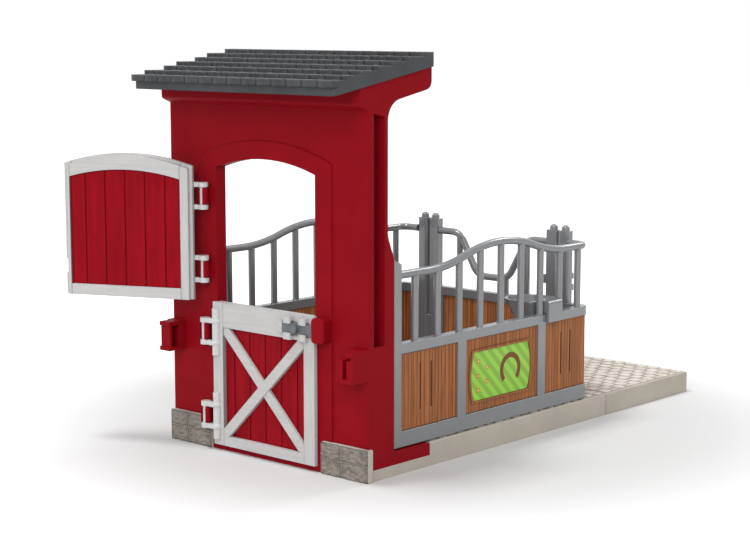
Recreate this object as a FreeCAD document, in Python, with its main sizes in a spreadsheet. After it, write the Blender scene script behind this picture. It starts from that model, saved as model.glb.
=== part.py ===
import FreeCAD, Part
import math
import os
from collections import namedtuple
from types import SimpleNamespace

import Sketcher

# Toy horse stall: front wall with a two-leaf door, tiled roof, base, fence, gate and feed trough.
# Millimetres. X to the right seen from the front, Y to the back, Z up; the wall's front face is y = 0.

SIZES = [
    ("seat_gap", 0.15, "play between pieces that are pushed together"),
    ("run_gap", 0.3, "play between pieces that move past each other"),
    ("pin_gap", 0.06, "play round a hinge pin"),
    ("wall_width", 126.0, "front wall, side to side"),
    ("wall_skin", 2.2, "front panel thickness"),
    ("wall_top", 161.7, "underside of the cornice"),
    ("doorway_width", 63.4, "clear width of the doorway"),
    ("doorway_spring", 132.9, "height where the doorway's arch starts"),
    ("doorway_rise", 5.2, "rise of the doorway's arch"),
    ("jamb_depth", 5.5, "depth of the doorway's lining"),
    ("jamb_wall", 2.0, "thickness of the doorway's lining"),
    ("sill_height", 2.4, "sill under the doors"),
    ("trim_width", 9.8, "raised trim round the doorway"),
    ("trim_proud", 0.6, "how far the trim stands out"),
    ("trim_spring", 138.1, "height where the trim's outer arch starts"),
    ("trim_rise", 8.3, "rise of the trim's outer arch"),
    ("side_width", 8.0, "end plates of the wall, along X"),
    ("side_depth", 12.3, "end plates, depth above the flare"),
    ("flare_depth", 16.5, "end plates, depth below the flare"),
    ("flare_low", 97.0, "lower bend of the flare"),
    ("flare_high", 107.5, "upper bend of the flare"),
    ("flare_round", 12.0, "radius of the flare's bends"),
    ("foot_length", 41.0, "feet of the wall, to the back"),
    ("foot_round", 1.5, "radius between the foot and the end plate"),
    ("nose_out", 5.3, "cornice, how far it stands out"),
    ("nose_slope", 2.2, "cornice, rise of its underside to the front"),
    ("nose_round", 2.0, "cornice, radius of its lower edge"),
    ("beam_depth", 5.5, "cornice beam behind the panel"),
    ("bracket_low", 3.1, "roof bracket, lower edge at the end plate over the wall's top"),
    ("bracket_high", 8.7, "roof bracket, lower edge at its tip over the wall's top"),
    ("bracket_length", 41.2, "roof bracket, to the back"),
    ("bracket_round", 9.4, "radius under the bracket"),
    ("bracket_tip", 4.0, "radius at the bracket's tip"),
    ("channel_front", 3.2, "front flange beside the channel"),
    ("channel_back", 2.0, "back flange beside the channel"),
    ("channel_low", 59.5, "lower end of the channel"),
    ("channel_end", 0.9, "upper end of the channel under the wall's top"),
    ("channel_slope", 1.8, "fall of the channel's upper end to the back"),
    ("channel_depth", 5.5, "depth of the channel in the end plate"),
    ("stone_inner", 35.6, "half distance between the corner stones"),
    ("stone_side", 1.0, "corner stones, how far they pass the wall's side"),
    ("stone_out", 1.7, "corner stones, how far they stand out"),
    ("stone_back", 1.6, "corner stones, rear face"),
    ("stone_height", 14.8, "corner stones, height"),
    ("stone_round", 1.0, "corner stones, rounded top edges"),
    ("strip_height", 5.0, "base under the wall's feet"),
    ("base_height", 11.0, "base, top face"),
    ("base_seam", 11.7, "seam between the two base plates, behind the corner posts"),
    ("base_length", 76.6, "rear base plate, length"),
    ("base_skin", 2.0, "thickness of the base's top over the cells"),
    ("base_rim", 3.0, "border round the cells"),
    ("base_rib", 1.6, "ribs between the cells"),
    ("base_round", 0.8, "rounding of the base's top edges"),
    ("hinge_side", 4.9, "door hinge axis, beside the doorway"),
    ("hinge_out", 4.0, "door hinge axis, in front of the wall"),
    ("hinge_pin", 1.6, "radius of the hinge pins"),
    ("clip_wall", 0.9, "thickness of the hinge clips"),
    ("clip_mouth", 3.0, "mouth of the hinge clips"),
    ("clip_stem", 2.8, "stem of the hinge clips, along X"),
    ("arm_end", 2.3, "radius of the hinge arms' round end"),
    ("arm_high", 2.2, "height of a hinge arm"),
    ("arm_pitch", 10.4, "distance between the two arms of a hinge"),
    ("upper_hinge_low", 79.2, "upper door, lower hinge"),
    ("upper_hinge_high", 113.3, "upper door, upper hinge"),
    ("lower_hinge_low", 10.3, "lower door, lower hinge"),
    ("lower_hinge_high", 50.1, "lower door, upper hinge"),
    ("strap_start", 0.3, "hinge straps, from the leaf's edge"),
    ("strap_width", 3.9, "hinge straps, width"),
    ("strap_length", 22.0, "hinge straps, height"),
    ("leaf_start", 4.2, "door leaf, edge beside the hinge axis"),
    ("leaf_width", 65.4, "door leaf, width of the front frame"),
    ("leaf_front", 1.1, "door leaf, front face behind the hinge axis"),
    ("leaf_lap", 2.0, "front frame thickness"),
    ("leaf_back", 2.2, "rear frame thickness"),
    ("leaf_side", 0.6, "play between the rear frame and the doorway"),
    ("plank_thick", 1.2, "door panel thickness"),
    ("groove_width", 0.7, "grooves between the planks"),
    ("groove_depth", 0.4, "depth of the grooves"),
    ("plank_pitch", 10.2, "plank width"),
    ("lower_bottom", 2.8, "lower door, bottom edge"),
    ("lower_top", 70.4, "lower door, top edge"),
    ("lower_stile", 6.6, "lower door, stiles"),
    ("lower_rail", 4.7, "lower door, bottom rail"),
    ("lower_head", 11.5, "lower door, top rail"),
    ("brace_width", 4.8, "cross brace, width"),
    ("brace_step", 0.5, "lower arm of the cross lies this much deeper"),
    ("upper_bottom", 71.3, "upper door, bottom edge"),
    ("upper_stile", 5.4, "upper door, hinge stile"),
    ("upper_edge", 3.6, "upper door, free stile"),
    ("upper_rail", 5.1, "upper door, bottom rail"),
    ("upper_head", 6.2, "upper door, top rail at the springs"),
    ("upper_inner_rise", 3.8, "rise of the panel's arch"),
    ("upper_lap", 0.6, "front frame laps over the doorway's edge"),
    ("notch_low", 81.3, "notch in the free stile, lower end"),
    ("notch_high", 88.0, "notch in the free stile, upper end"),
    ("notch_depth", 1.5, "notch in the free stile, depth"),
    ("upper_open", 156.0, "opening of the upper door at rest, degrees"),
    ("bolt_start", 51.2, "door bolt, left end from the hinge axis"),
    ("bolt_length", 18.2, "door bolt, length"),
    ("bolt_low", 61.2, "door bolt, lower edge"),
    ("bolt_high", 67.2, "door bolt, upper edge"),
    ("bolt_thick", 1.1, "door bolt, thickness"),
    ("bolt_round", 0.8, "bolts, rounded corners"),
    ("knob_radius", 2.0, "bolt knob, radius"),
    ("knob_out", 2.2, "bolt knob, height"),
    ("knob_round", 0.65, "bolt knob, rounded edge"),
    ("guide_width", 4.2, "bolt guides, along X"),
    ("guide_first", 52.9, "first pair of guides, from the hinge axis"),
    ("guide_second", 62.2, "second pair of guides, from the hinge axis"),
    ("guide_wall", 1.9, "bolt guides, height beside the bolt"),
    ("guide_lip", 0.9, "lip of the guides over the bolt"),
    ("stop_width", 3.0, "end stop beside the bolt"),
    ("catch_gap", 0.6, "play between the door's edge and the catch"),
    ("catch_width", 7.8, "bolt catch, along X"),
    ("catch_low", 59.2, "bolt catch, lower edge"),
    ("catch_high", 70.6, "bolt catch, upper edge"),
    ("catch_out", 5.4, "bolt catch, height over the trim"),
    ("catch_round", 2.0, "bolt catch, rounded corners"),
    ("catch_depth", 5.9, "pocket in the catch"),
    ("link_out", 10.7, "side connectors, to the front"),
    ("link_low", 45.1, "side connectors, lower edge"),
    ("link_high", 58.9, "side connectors, upper edge"),
    ("link_plate", 4.0, "side connectors, back plate"),
    ("link_flange", 1.9, "side connectors, flanges"),
    ("link_lip", 0.5, "side connectors, flanges past the box"),
    ("link_web", 1.4, "side connectors, walls of the box"),
    ("socket_side", 2.4, "left connector, inset of the box from the wall's side"),
    ("socket_width", 6.3, "left connector, box along X"),
    ("hook_block", 3.8, "right connector, block beside the wall's side"),
    ("hook_slot", 2.3, "right connector, slot beside the block"),
    ("hook_tongue", 3.4, "right connector, tongue beside the slot"),
    ("hook_gap", 1.7, "right connector, gap under the upper flange"),
    ("roof_half", 63.75, "roof, half width"),
    ("roof_front", -21.8, "roof, front of the underside"),
    ("roof_back", 41.6, "roof, back of the underside"),
    ("roof_low", 6.95, "roof, underside at the front over the wall's top"),
    ("roof_high", 18.1, "roof, underside at the back over the wall's top"),
    ("roof_slab", 3.65, "roof, slab thickness at the front"),
    ("roof_slab_back", 4.3, "roof, slab thickness at the back"),
    ("roof_round", 3.0, "roof, rounded front corners of the slab"),
    ("tile_step", 2.9, "tiles, height of a front edge"),
    ("tile_pitch", 9.8, "tiles, distance of the courses"),
    ("tile_out", 2.8, "tiles, overhang at the front"),
    ("tile_bow", 1.9, "tiles, rounding of a front edge in plan"),
    ("fence_side", 0.7, "fence, outer face from the wall's side"),
    ("fence_thick", 4.4, "fence, thickness of the frame"),
    ("fence_low", 11.9, "fence, bottom edge"),
    ("fence_rail", 19.0, "fence, top of the bottom rail"),
    ("fence_mid", 54.0, "fence, bottom of the middle rail"),
    ("fence_shelf", 58.5, "fence, top of the middle rail"),
    ("fence_front", 17.3, "fence, front edge"),
    ("fence_post", 5.0, "fence, front post along Y"),
    ("fence_crown", 7.5, "fence, front post's top over the top rail's axis"),
    ("fence_slant", 2.5, "fence, slope of the front post's top"),
    ("front_bay", 44.5, "first divider, from the fence's front edge"),
    ("rear_bay", 43.6, "second divider, from the corner's rear face"),
    ("divider_width", 6.0, "dividers, along Y"),
    ("corner_back", 166.6, "fence corner, rear face"),
    ("corner_round", 5.4, "fence corner, outer radius"),
    ("bar_radius", 1.7, "round bars, radius"),
    ("bar_first", 33.7, "first round bar"),
    ("bar_last", 8.9, "last round bar, from the corner's rear face"),
    ("rail_radius", 1.85, "top rail, radius"),
    ("rail_height", 89.0, "top rail, axis of the straight ends"),
    ("wave_rise", 8.3, "top rail, rise of the wave"),
    ("wave_lead", 20.7, "top rail, level part behind the front post"),
    ("wave_tail", 12.4, "top rail, level part before the bend"),
    ("rail_bend", 4.6, "top rail, bend at the corner"),
    ("peg_radius", 1.5, "fence pegs, radius"),
    ("peg_length", 5.0, "fence pegs, depth in the base"),
    ("peg_collar", 2.0, "fence pegs, radius of the collar"),
    ("peg_first", 52.0, "first fence peg"),
    ("peg_last", 24.6, "last fence peg, from the corner's rear face"),
    ("infill_thick", 3.0, "wood panels, thickness"),
    ("slot_first", 13.2, "first engraved line, from the panel's front edge"),
    ("slot_pitch", 7.6, "distance of the two engraved lines"),
    ("slot_width", 0.9, "engraved lines, width"),
    ("slot_low", 27.0, "engraved lines, lower end"),
    ("slot_high", 48.0, "engraved lines, upper end"),
    ("slot_depth", 0.6, "engraved lines, depth"),
    ("frame_front", 10.8, "raised rim on the middle panel, from the first divider"),
    ("frame_back", 6.8, "raised rim on the middle panel, from the second divider"),
    ("frame_low", 23.0, "raised rim, lower edge"),
    ("frame_high", 48.5, "raised rim, upper edge"),
    ("frame_bow", 2.2, "raised rim, bow of its sides"),
    ("frame_rim", 1.1, "raised rim, width"),
    ("frame_proud", 0.6, "raised rim, height"),
    ("sticker_thick", 0.15, "sticker, thickness"),
    ("post_inner", 43.2, "corner posts, side towards the gate"),
    ("post_width", 6.4, "corner posts, along X"),
    ("post_depth", 5.4, "corner posts, along Y"),
    ("post_behind", 2.4, "corner posts, rear face behind the fence corner"),
    ("post_top", 94.8, "corner posts, top"),
    ("post_round", 1.5, "corner posts, rounded edges"),
    ("dome_radius", 2.1, "knobs on the posts, radius"),
    ("dome_stem", 0.8, "knobs on the posts, stem"),
    ("dome_round", 1.9, "knobs on the posts, rounded edge"),
    ("gate_gap", 1.0, "play between the gate and the posts"),
    ("gate_stile", 6.2, "gate stiles, along X"),
    ("gate_thick", 4.4, "gate, thickness of the frame"),
    ("gate_low", 12.6, "gate, bottom edge"),
    ("gate_ledge", 42.3, "gate, underside of the hinge stile"),
    ("gate_toe", 3.8, "gate, lower edge beside the hinge axis"),
    ("gate_toe_width", 3.4, "gate, lower stile on the hinge side"),
    ("gate_flat", 22.2, "gate top rail, start of the dip"),
    ("gate_dip", 66.5, "gate top rail, axis at the dip's bottom"),
    ("gate_rail", 88.5, "gate top rail, axis at the stiles"),
    ("gate_bend", 9.0, "gate top rail, radius of its bends"),
    ("gate_foot", 10.0, "gate top rail, end of the dip's slope"),
    ("gate_bar", 8.7, "gate, inner bars from the middle"),
    ("socket_radius", 3.0, "hinge socket of the gate, radius"),
    ("socket_web", 3.6, "hinge socket of the gate, web along Y"),
    ("pintle_length", 12.0, "hinge pin of the gate, length"),
    ("gate_bolt_low", 66.3, "gate bolt, lower edge"),
    ("gate_bolt_high", 70.9, "gate bolt, upper edge"),
    ("gate_bolt_throw", 3.2, "gate bolt, travel"),
    ("bowl_out", 22.0, "trough, how far the bowl stands off the fence"),
    ("bowl_width", 24.0, "trough, width along Y"),
    ("bowl_rim", 64.5, "trough, rim"),
    ("bowl_depth", 11.0, "trough, depth"),
    ("bowl_taper", 0.72, "trough, bottom size against the rim"),
    ("bowl_bow", 11.4, "trough, rounding of its front in plan"),
    ("bowl_wall", 1.5, "trough, wall"),
    ("hook_side", 0.55, "trough hook, play beside the round bars"),
    ("hook_top", 65.0, "trough hook, top"),
    ("hook_low", 54.5, "trough hook, lower edge outside"),
    ("hook_plate", 1.6, "trough hook, thickness"),
]

V = FreeCAD.Vector
doc = FreeCAD.newDocument("HorseStall")


class Measure:
    """A length that carries both its number and the sheet formula behind it."""

    def __init__(self, value, text):
        self.value = value
        self.text = text

    def __add__(self, other):
        other = measure(other)
        return Measure(self.value + other.value, f"({self.text} + {other.text})")

    def __sub__(self, other):
        other = measure(other)
        return Measure(self.value - other.value, f"({self.text} - {other.text})")

    def __mul__(self, other):
        other = measure(other)
        return Measure(self.value * other.value, f"({self.text} * {other.text})")

    def __truediv__(self, other):
        other = measure(other)
        return Measure(self.value / other.value, f"({self.text} / {other.text})")

    def __neg__(self):
        return Measure(-self.value, f"(0 - {self.text})")

    def __rsub__(self, other):
        return measure(other) - self

    __radd__ = __add__
    __rmul__ = __mul__


def measure(item):
    """A plain number becomes a Measure too."""
    return item if isinstance(item, Measure) else Measure(float(item), repr(float(item)))


def root(item):
    """Square root of a Measure."""
    return Measure(math.sqrt(item.value), f"sqrt({item.text})")


def write_sheet():
    """Puts the driving sizes into the sheet and returns them as Measures by name."""
    sheet = doc.addObject("Spreadsheet::Sheet", "Sizes")
    for row, (alias, number, note) in enumerate(SIZES, 1):
        sheet.set(f"A{row}", alias)
        sheet.set(f"B{row}", str(number))
        sheet.set(f"C{row}", note)
        sheet.setAlias(f"B{row}", alias)
    doc.recompute()
    return SimpleNamespace(**{alias: Measure(number, f"Sizes.{alias}") for alias, number, _ in SIZES})


size = write_sheet()
nodes = []

# Sizes that several pieces share
half = size.wall_width / 2
door_half = size.doorway_width / 2
hinge_x = -(door_half + size.hinge_side)
hinge_y = -size.hinge_out
leaf_end = size.leaf_start + size.leaf_width
foot_inner = half - size.side_width - size.seat_gap
fence_outer = half - size.fence_side
fence_inner = fence_outer - size.fence_thick
fence_centre = fence_outer - size.fence_thick / 2
gate_half = size.post_inner - size.gate_gap
gate_hinge = -(gate_half - size.gate_stile / 2)
post_back = size.corner_back + size.post_behind
post_front = post_back - size.post_depth
gate_y = (post_front + post_back) / 2
divider_one = size.fence_front + size.front_bay
divider_two = size.corner_back - size.rear_bay
bar_count = 9
bar_pitch = (size.corner_back - size.bar_last - size.bar_first) / (bar_count - 1)
bowl_middle = size.bar_first + bar_pitch * 6.5
rail_span = size.corner_back - size.fence_thick / 2
pivot_hole = size.hinge_pin + size.pin_gap
eave = size.wall_top + size.roof_low
ridge = size.wall_top + size.roof_high
bracket_low = size.wall_top + size.bracket_low
bracket_high = size.wall_top + size.bracket_high
channel_high = size.wall_top - size.channel_end
seam = post_back + size.base_seam
base_end = seam + size.base_length


def roof_under(y):
    """Height of the roof's underside at a depth y."""
    slope = (ridge - eave) / (size.roof_back - size.roof_front)
    return eave + (y - size.roof_front) * slope


# Drawing helpers

Corner = namedtuple("Corner", "x y blend bow")
Disc = namedtuple("Disc", "x y radius")


def at(x, y, blend=None, bow=None):
    """A corner of an outline, rounded by blend; the side after it bows outwards by bow."""
    return Corner(measure(x), measure(y), blend and measure(blend), bow and measure(bow))


def disc(x, y, radius):
    return Disc(measure(x), measure(y), measure(radius))


def rectangle(x0, y0, x1, y1, blend=None):
    return [at(x0, y0, blend), at(x1, y0, blend), at(x1, y1, blend), at(x0, y1, blend)]


def bind(thing, path, amount):
    """Drives one property of an object by a sheet formula."""
    thing.setExpression(path, measure(amount).text)


def bow_radius(a, b, bow):
    """Radius of an arc over two corners with a given rise, which may be negative."""
    dx = b.x - a.x
    dy = b.y - a.y
    rise = bow if bow.value > 0 else -bow
    return ((dx * dx + dy * dy) / 4 + rise * rise) / (rise * 2)


def arc(sketch, start, end, centre, turn_left):
    """Adds an arc from start to end and tells which of its ends is which."""
    first, last = (start, end) if turn_left else (end, start)
    begin = math.atan2(first.y - centre.y, first.x - centre.x)
    finish = math.atan2(last.y - centre.y, last.x - centre.x)
    if finish < begin:
        finish += 2 * math.pi
    circle = Part.Circle(centre, V(0, 0, 1), first.distanceToPoint(centre))
    number = sketch.addGeometry(Part.ArcOfCircle(circle, begin, finish), False)
    return (number, 1, 2) if turn_left else (number, 2, 1)


def hold(sketch, kind, *refs, amount):
    """Adds one dimension to a sketch and binds it to its formula."""
    number = sketch.addConstraint(Sketcher.Constraint(kind, *refs, amount.value))
    bind(sketch, f"Constraints[{number}]", amount)


def place(sketch, number, end, x, y):
    """Fixes a point of a sketch by its distances from the origin."""
    hold(sketch, "DistanceX", -1, 1, number, end, amount=x)
    hold(sketch, "DistanceY", -1, 1, number, end, amount=y)


def draw_side(sketch, corner, follower, start, end):
    """Draws the straight or bowed side between two corners."""
    if not corner.bow:
        return sketch.addGeometry(Part.LineSegment(start, end), False), 1, 2
    radius = bow_radius(corner, follower, corner.bow).value
    along = end - start
    outward = V(along.y, -along.x, 0).normalize()
    swing = 1 if corner.bow.value > 0 else -1
    centre = (start + end) * 0.5 + outward * (corner.bow.value - radius * swing)
    return arc(sketch, start, end, centre, swing > 0)


def draw_outline(sketch, corners, closed=True):
    """Draws one outline, counter-clockwise if closed, with every corner bound to the sheet."""
    count = len(corners)
    points = [V(c.x.value, c.y.value, 0) for c in corners]
    reach = list(points)
    leave = list(points)
    centres = {}
    for i, corner in enumerate(corners):
        if corner.blend:
            back = (points[i - 1] - points[i]).normalize()
            ahead = (points[(i + 1) % count] - points[i]).normalize()
            angle = back.getAngle(ahead) / 2
            reach[i] = points[i] + back * (corner.blend.value / math.tan(angle))
            leave[i] = points[i] + ahead * (corner.blend.value / math.tan(angle))
            centres[i] = points[i] + (back + ahead).normalize() * (corner.blend.value / math.sin(angle))
    last = count if closed else count - 1
    sides = []
    for i in range(last):
        j = (i + 1) % count
        sides.append(draw_side(sketch, corners[i], corners[j], leave[i], reach[j]))
    for i, corner in enumerate(corners):
        before = sides[i - 1] if closed or i else None
        after = sides[i] if i < last else None
        if corner.blend:
            round_corner(sketch, corner, before, after, reach[i], leave[i], centres[i])
            continue
        if before and after:
            sketch.addConstraint(Sketcher.Constraint("Coincident", before[0], before[2], after[0], after[1]))
        number, end = (after[0], after[1]) if after else (before[0], before[2])
        place(sketch, number, end, corner.x, corner.y)
        if corner.bow:
            radius = bow_radius(corner, corners[(i + 1) % count], corner.bow)
            hold(sketch, "Radius", after[0], amount=radius)


def round_corner(sketch, corner, before, after, start, end, centre):
    """Joins two straight sides by a tangent arc whose sharp corner stays bound to the sheet."""
    turn = (start - centre).cross(end - centre).z > 0
    number, first, last = arc(sketch, start, end, centre, turn)
    sketch.addConstraint(Sketcher.Constraint("Tangent", before[0], before[2], number, first))
    sketch.addConstraint(Sketcher.Constraint("Tangent", number, last, after[0], after[1]))
    hold(sketch, "Radius", number, amount=corner.blend)
    tip = sketch.addGeometry(Part.Point(V(corner.x.value, corner.y.value, 0)), True)
    sketch.addConstraint(Sketcher.Constraint("PointOnObject", tip, 1, before[0]))
    sketch.addConstraint(Sketcher.Constraint("PointOnObject", tip, 1, after[0]))
    place(sketch, tip, 1, corner.x, corner.y)


def draw_disc(sketch, item):
    """Draws a circle bound to the sheet."""
    middle = V(item.x.value, item.y.value, 0)
    number = sketch.addGeometry(Part.Circle(middle, V(0, 0, 1), item.radius.value), False)
    place(sketch, number, 3, item.x, item.y)
    hold(sketch, "Radius", number, amount=item.radius)


def new_sketch(body, plane, level, loops, closed=True):
    """A sketch on one of the body's own origin planes, moved to a level along that plane's axis."""
    sketch = body.newObject("Sketcher::SketchObject", body.Name + "_sketch")
    role = plane + "_Plane"
    sketch.AttachmentSupport = [(next(f for f in body.Origin.OriginFeatures if f.Role == role), "")]
    sketch.MapMode = "FlatFace"
    bind(sketch, "AttachmentOffset.Base.z", -measure(level) if plane == "XZ" else level)
    for loop in loops:
        if isinstance(loop, Disc):
            draw_disc(sketch, loop)
        else:
            draw_outline(sketch, loop, closed)
    return sketch


def new_body(label):
    body = doc.addObject("PartDesign::Body", label)
    body.Label = label
    return body


def pad(body, plane, low, high, *loops):
    """Adds material between two levels along the plane's axis."""
    feature = body.newObject("PartDesign::Pad", body.Name + "_pad")
    feature.Profile = new_sketch(body, plane, low, loops)
    feature.Reversed = plane == "XZ"
    bind(feature, "Length", measure(high) - low)
    doc.recompute()
    return feature


def pocket(body, plane, low, high, *loops):
    """Takes material away between two levels along the plane's axis."""
    before = body.Shape.Volume
    feature = body.newObject("PartDesign::Pocket", body.Name + "_pocket")
    feature.Profile = new_sketch(body, plane, low, loops)
    feature.Reversed = plane != "XZ"
    bind(feature, "Length", measure(high) - low)
    doc.recompute()
    if body.Shape.Volume >= before:
        raise ValueError(f"{feature.Name} takes nothing away")
    return feature


def round_edges(body, radius, wanted):
    """Rounds the edges of a body that pass a test."""
    solid = body.Tip
    picked = [f"Edge{i}" for i, edge in enumerate(solid.Shape.Edges, 1) if wanted(edge)]
    feature = body.newObject("PartDesign::Fillet", body.Name + "_fillet")
    feature.Base = (solid, picked)
    bind(feature, "Radius", radius)
    doc.recompute()
    return feature


def upright(edge):
    """True for a straight vertical edge."""
    box = edge.BoundBox
    return box.XLength < 1e-6 and box.YLength < 1e-6


def level_with(height):
    """A test for edges that lie at one height."""
    return lambda edge: abs(edge.BoundBox.ZMin - height.value) + abs(edge.BoundBox.ZMax - height.value) < 1e-6


def sweep(body, plane, level, path, radius):
    """A round rod along an open path that starts along Y, or along X on the XZ plane."""
    spine = new_sketch(body, plane, level, [path], closed=False)
    start = path[0]
    if plane == "XY":
        ring = new_sketch(body, "XZ", start.y, [disc(start.x, level, radius)])
    else:
        ring = new_sketch(body, "XZ" if plane == "YZ" else "YZ", start.x, [disc(level, start.y, radius)])
    feature = body.newObject("PartDesign::AdditivePipe", body.Name + "_pipe")
    feature.Profile = ring
    feature.Spine = spine
    doc.recompute()
    return feature


def move(thing, x, y, z):
    for axis, amount in zip("xyz", (x, y, z)):
        bind(thing, f"Placement.Base.{axis}", amount)
    return thing


def box(x0, x1, y0, y1, z0, z1):
    thing = doc.addObject("Part::Box", "box")
    bind(thing, "Length", measure(x1) - x0)
    bind(thing, "Width", measure(y1) - y0)
    bind(thing, "Height", measure(z1) - z0)
    return move(thing, x0, y0, z0)


def rod(axis, radius, low, high, x, y, z):
    """A round rod along X, Y or Z; the coordinate along the axis is its lower end."""
    thing = doc.addObject("Part::Cylinder", "rod")
    turns = {"X": (V(0, 1, 0), 90), "Y": (V(1, 0, 0), -90), "Z": (V(0, 0, 1), 0)}
    thing.Placement = FreeCAD.Placement(V(), FreeCAD.Rotation(*turns[axis]))
    bind(thing, "Radius", radius)
    bind(thing, "Height", measure(high) - low)
    spot = {"X": (low, y, z), "Y": (x, low, z), "Z": (x, y, low)}
    return move(thing, *spot[axis])


def fuse(label, *pieces):
    thing = doc.addObject("Part::MultiFuse", label)
    thing.Shapes = list(pieces)
    thing.Refine = True
    return thing


def cut(label, base, tool):
    thing = doc.addObject("Part::Cut", label)
    thing.Base = base
    thing.Tool = tool
    return thing


def group(label, *pieces):
    """Separate solids that are kept together as one piece."""
    thing = doc.addObject("Part::Compound", label)
    thing.Links = list(pieces)
    return thing


def mirror(label, source):
    """The same piece on the other side of the stall."""
    thing = doc.addObject("Part::Mirroring", label)
    thing.Source = source
    thing.Normal = V(1, 0, 0)
    return thing


def finish(label, thing):
    """Names a finished sub-part and puts it on the list."""
    thing.Label = label
    nodes.append(thing)
    return thing


# Base

def cells(x_half, y0, y1, columns, rows):
    """Outlines of the hollow cells under a base plate."""
    wide = (x_half * 2 - size.base_rib * (columns - 1)) / columns
    deep = (y1 - y0 - size.base_rib * (rows - 1)) / rows
    outlines = []
    for column in range(columns):
        x = -x_half + (wide + size.base_rib) * column
        for row in range(rows):
            y = y0 + (deep + size.base_rib) * row
            outlines.append(rectangle(x, y, x + wide, y + deep))
    return outlines


def pegs(count=3):
    """Depths of the fence pegs."""
    pitch = (size.corner_back - size.peg_last - size.peg_first) / (count - 1)
    return [size.peg_first + pitch * i for i in range(count)]


def base_front():
    """Base plate under the wall, with the corner stones, hollow below, and sockets for the fences."""
    body = new_body("base_front")
    side = half + size.stone_side
    lining = size.jamb_depth + size.seat_gap
    foot_back = size.foot_length + size.seat_gap
    left = [at(-half, seam), at(-half, size.stone_back), at(-side, size.stone_back),
            at(-side, -size.stone_out), at(-size.stone_inner, -size.stone_out), at(-size.stone_inner, lining)]
    right = [at(-corner.x, corner.y) for corner in reversed(left)]
    pad(body, "XY", 0, size.strip_height, left + right)
    left = [at(-half, seam), at(-half, foot_back), at(-foot_inner, foot_back),
            at(-foot_inner, size.stone_back), at(-size.stone_inner, size.stone_back),
            at(-size.stone_inner, lining)]
    right = [at(-corner.x, corner.y) for corner in reversed(left)]
    pad(body, "XY", size.strip_height, size.base_height, left + right)
    round_edges(body, size.base_round, lambda edge: level_with(size.base_height)(edge)
                and edge.BoundBox.YMax > foot_back.value and edge.BoundBox.YMin > size.stone_back.value)
    stones = [rectangle(size.stone_inner, -size.stone_out, side, size.stone_back),
              rectangle(-side, -size.stone_out, -size.stone_inner, size.stone_back)]
    pad(body, "XY", 0, size.stone_height, *stones)
    round_edges(body, size.stone_round, lambda edge: level_with(size.stone_height)(edge)
                and edge.BoundBox.YMin < -size.stone_out.value + 1e-6)
    hollow = cells(foot_inner - size.base_rim, lining + size.base_rim, seam - size.base_rim, 3, 4)
    pocket(body, "XY", 0, size.base_height - size.base_skin, *hollow)
    holes = []
    for y in pegs():
        holes.append(disc(fence_centre, y, size.peg_radius + size.seat_gap))
        holes.append(disc(-fence_centre, y, size.peg_radius + size.seat_gap))
    pocket(body, "XY", size.base_height - size.peg_length - size.seat_gap, size.base_height, *holes)
    return finish("base_front", body)


def base_rear():
    """Base plate behind the seam."""
    body = new_body("base_rear")
    pad(body, "XY", 0, size.base_height, rectangle(-half, seam, half, base_end))
    round_edges(body, size.base_round, level_with(size.base_height))
    hollow = cells(half - size.base_rim * 2, seam + size.base_rim, base_end - size.base_rim, 3, 2)
    pocket(body, "XY", 0, size.base_height - size.base_skin, *hollow)
    return finish("base_rear", body)


# Front wall

def doorway(grow=0):
    """Outline of the arched doorway down to the sill, grown by a margin at the sides and above."""
    reach = door_half + grow
    return [at(-reach, size.sill_height), at(reach, size.sill_height),
            at(reach, size.doorway_spring, bow=size.doorway_rise + grow), at(-reach, size.doorway_spring)]


def end_plate():
    """Side outline of the wall: foot, flare, channel zone and roof bracket."""
    stone_top = size.stone_height + size.seat_gap
    clear = size.stone_back + size.seat_gap
    tip = size.bracket_length
    return [at(clear, size.strip_height), at(size.foot_length, size.strip_height),
            at(size.foot_length, size.base_height, size.foot_round),
            at(size.flare_depth, size.base_height, size.foot_round),
            at(size.flare_depth, size.flare_low, size.flare_round),
            at(size.side_depth, size.flare_high, size.flare_round),
            at(size.side_depth, bracket_low, size.bracket_round),
            at(tip, bracket_high, size.bracket_tip), at(tip, roof_under(tip)),
            at(-size.nose_out, roof_under(-size.nose_out)),
            at(-size.nose_out, size.wall_top + size.nose_slope, size.nose_round), at(0, size.wall_top),
            at(0, stone_top), at(clear, stone_top)]


def hinge_clip(low, high):
    """A C-shaped clip in front of the wall that holds a hinge pin."""
    outer = pivot_hole + size.clip_wall
    ring = rod("Z", outer, low, high, hinge_x, hinge_y, 0)
    stem = box(hinge_x - size.clip_stem / 2, hinge_x + size.clip_stem / 2, hinge_y, 0, low, high)
    hole = rod("Z", pivot_hole, low, high, hinge_x, hinge_y, 0)
    mouth = box(hinge_x - size.clip_mouth / 2, hinge_x + size.clip_mouth / 2,
                hinge_y - outer, hinge_y, low, high)
    return cut("clip", fuse("clip_ring", ring, stem), fuse("clip_hole", hole, mouth))


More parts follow.
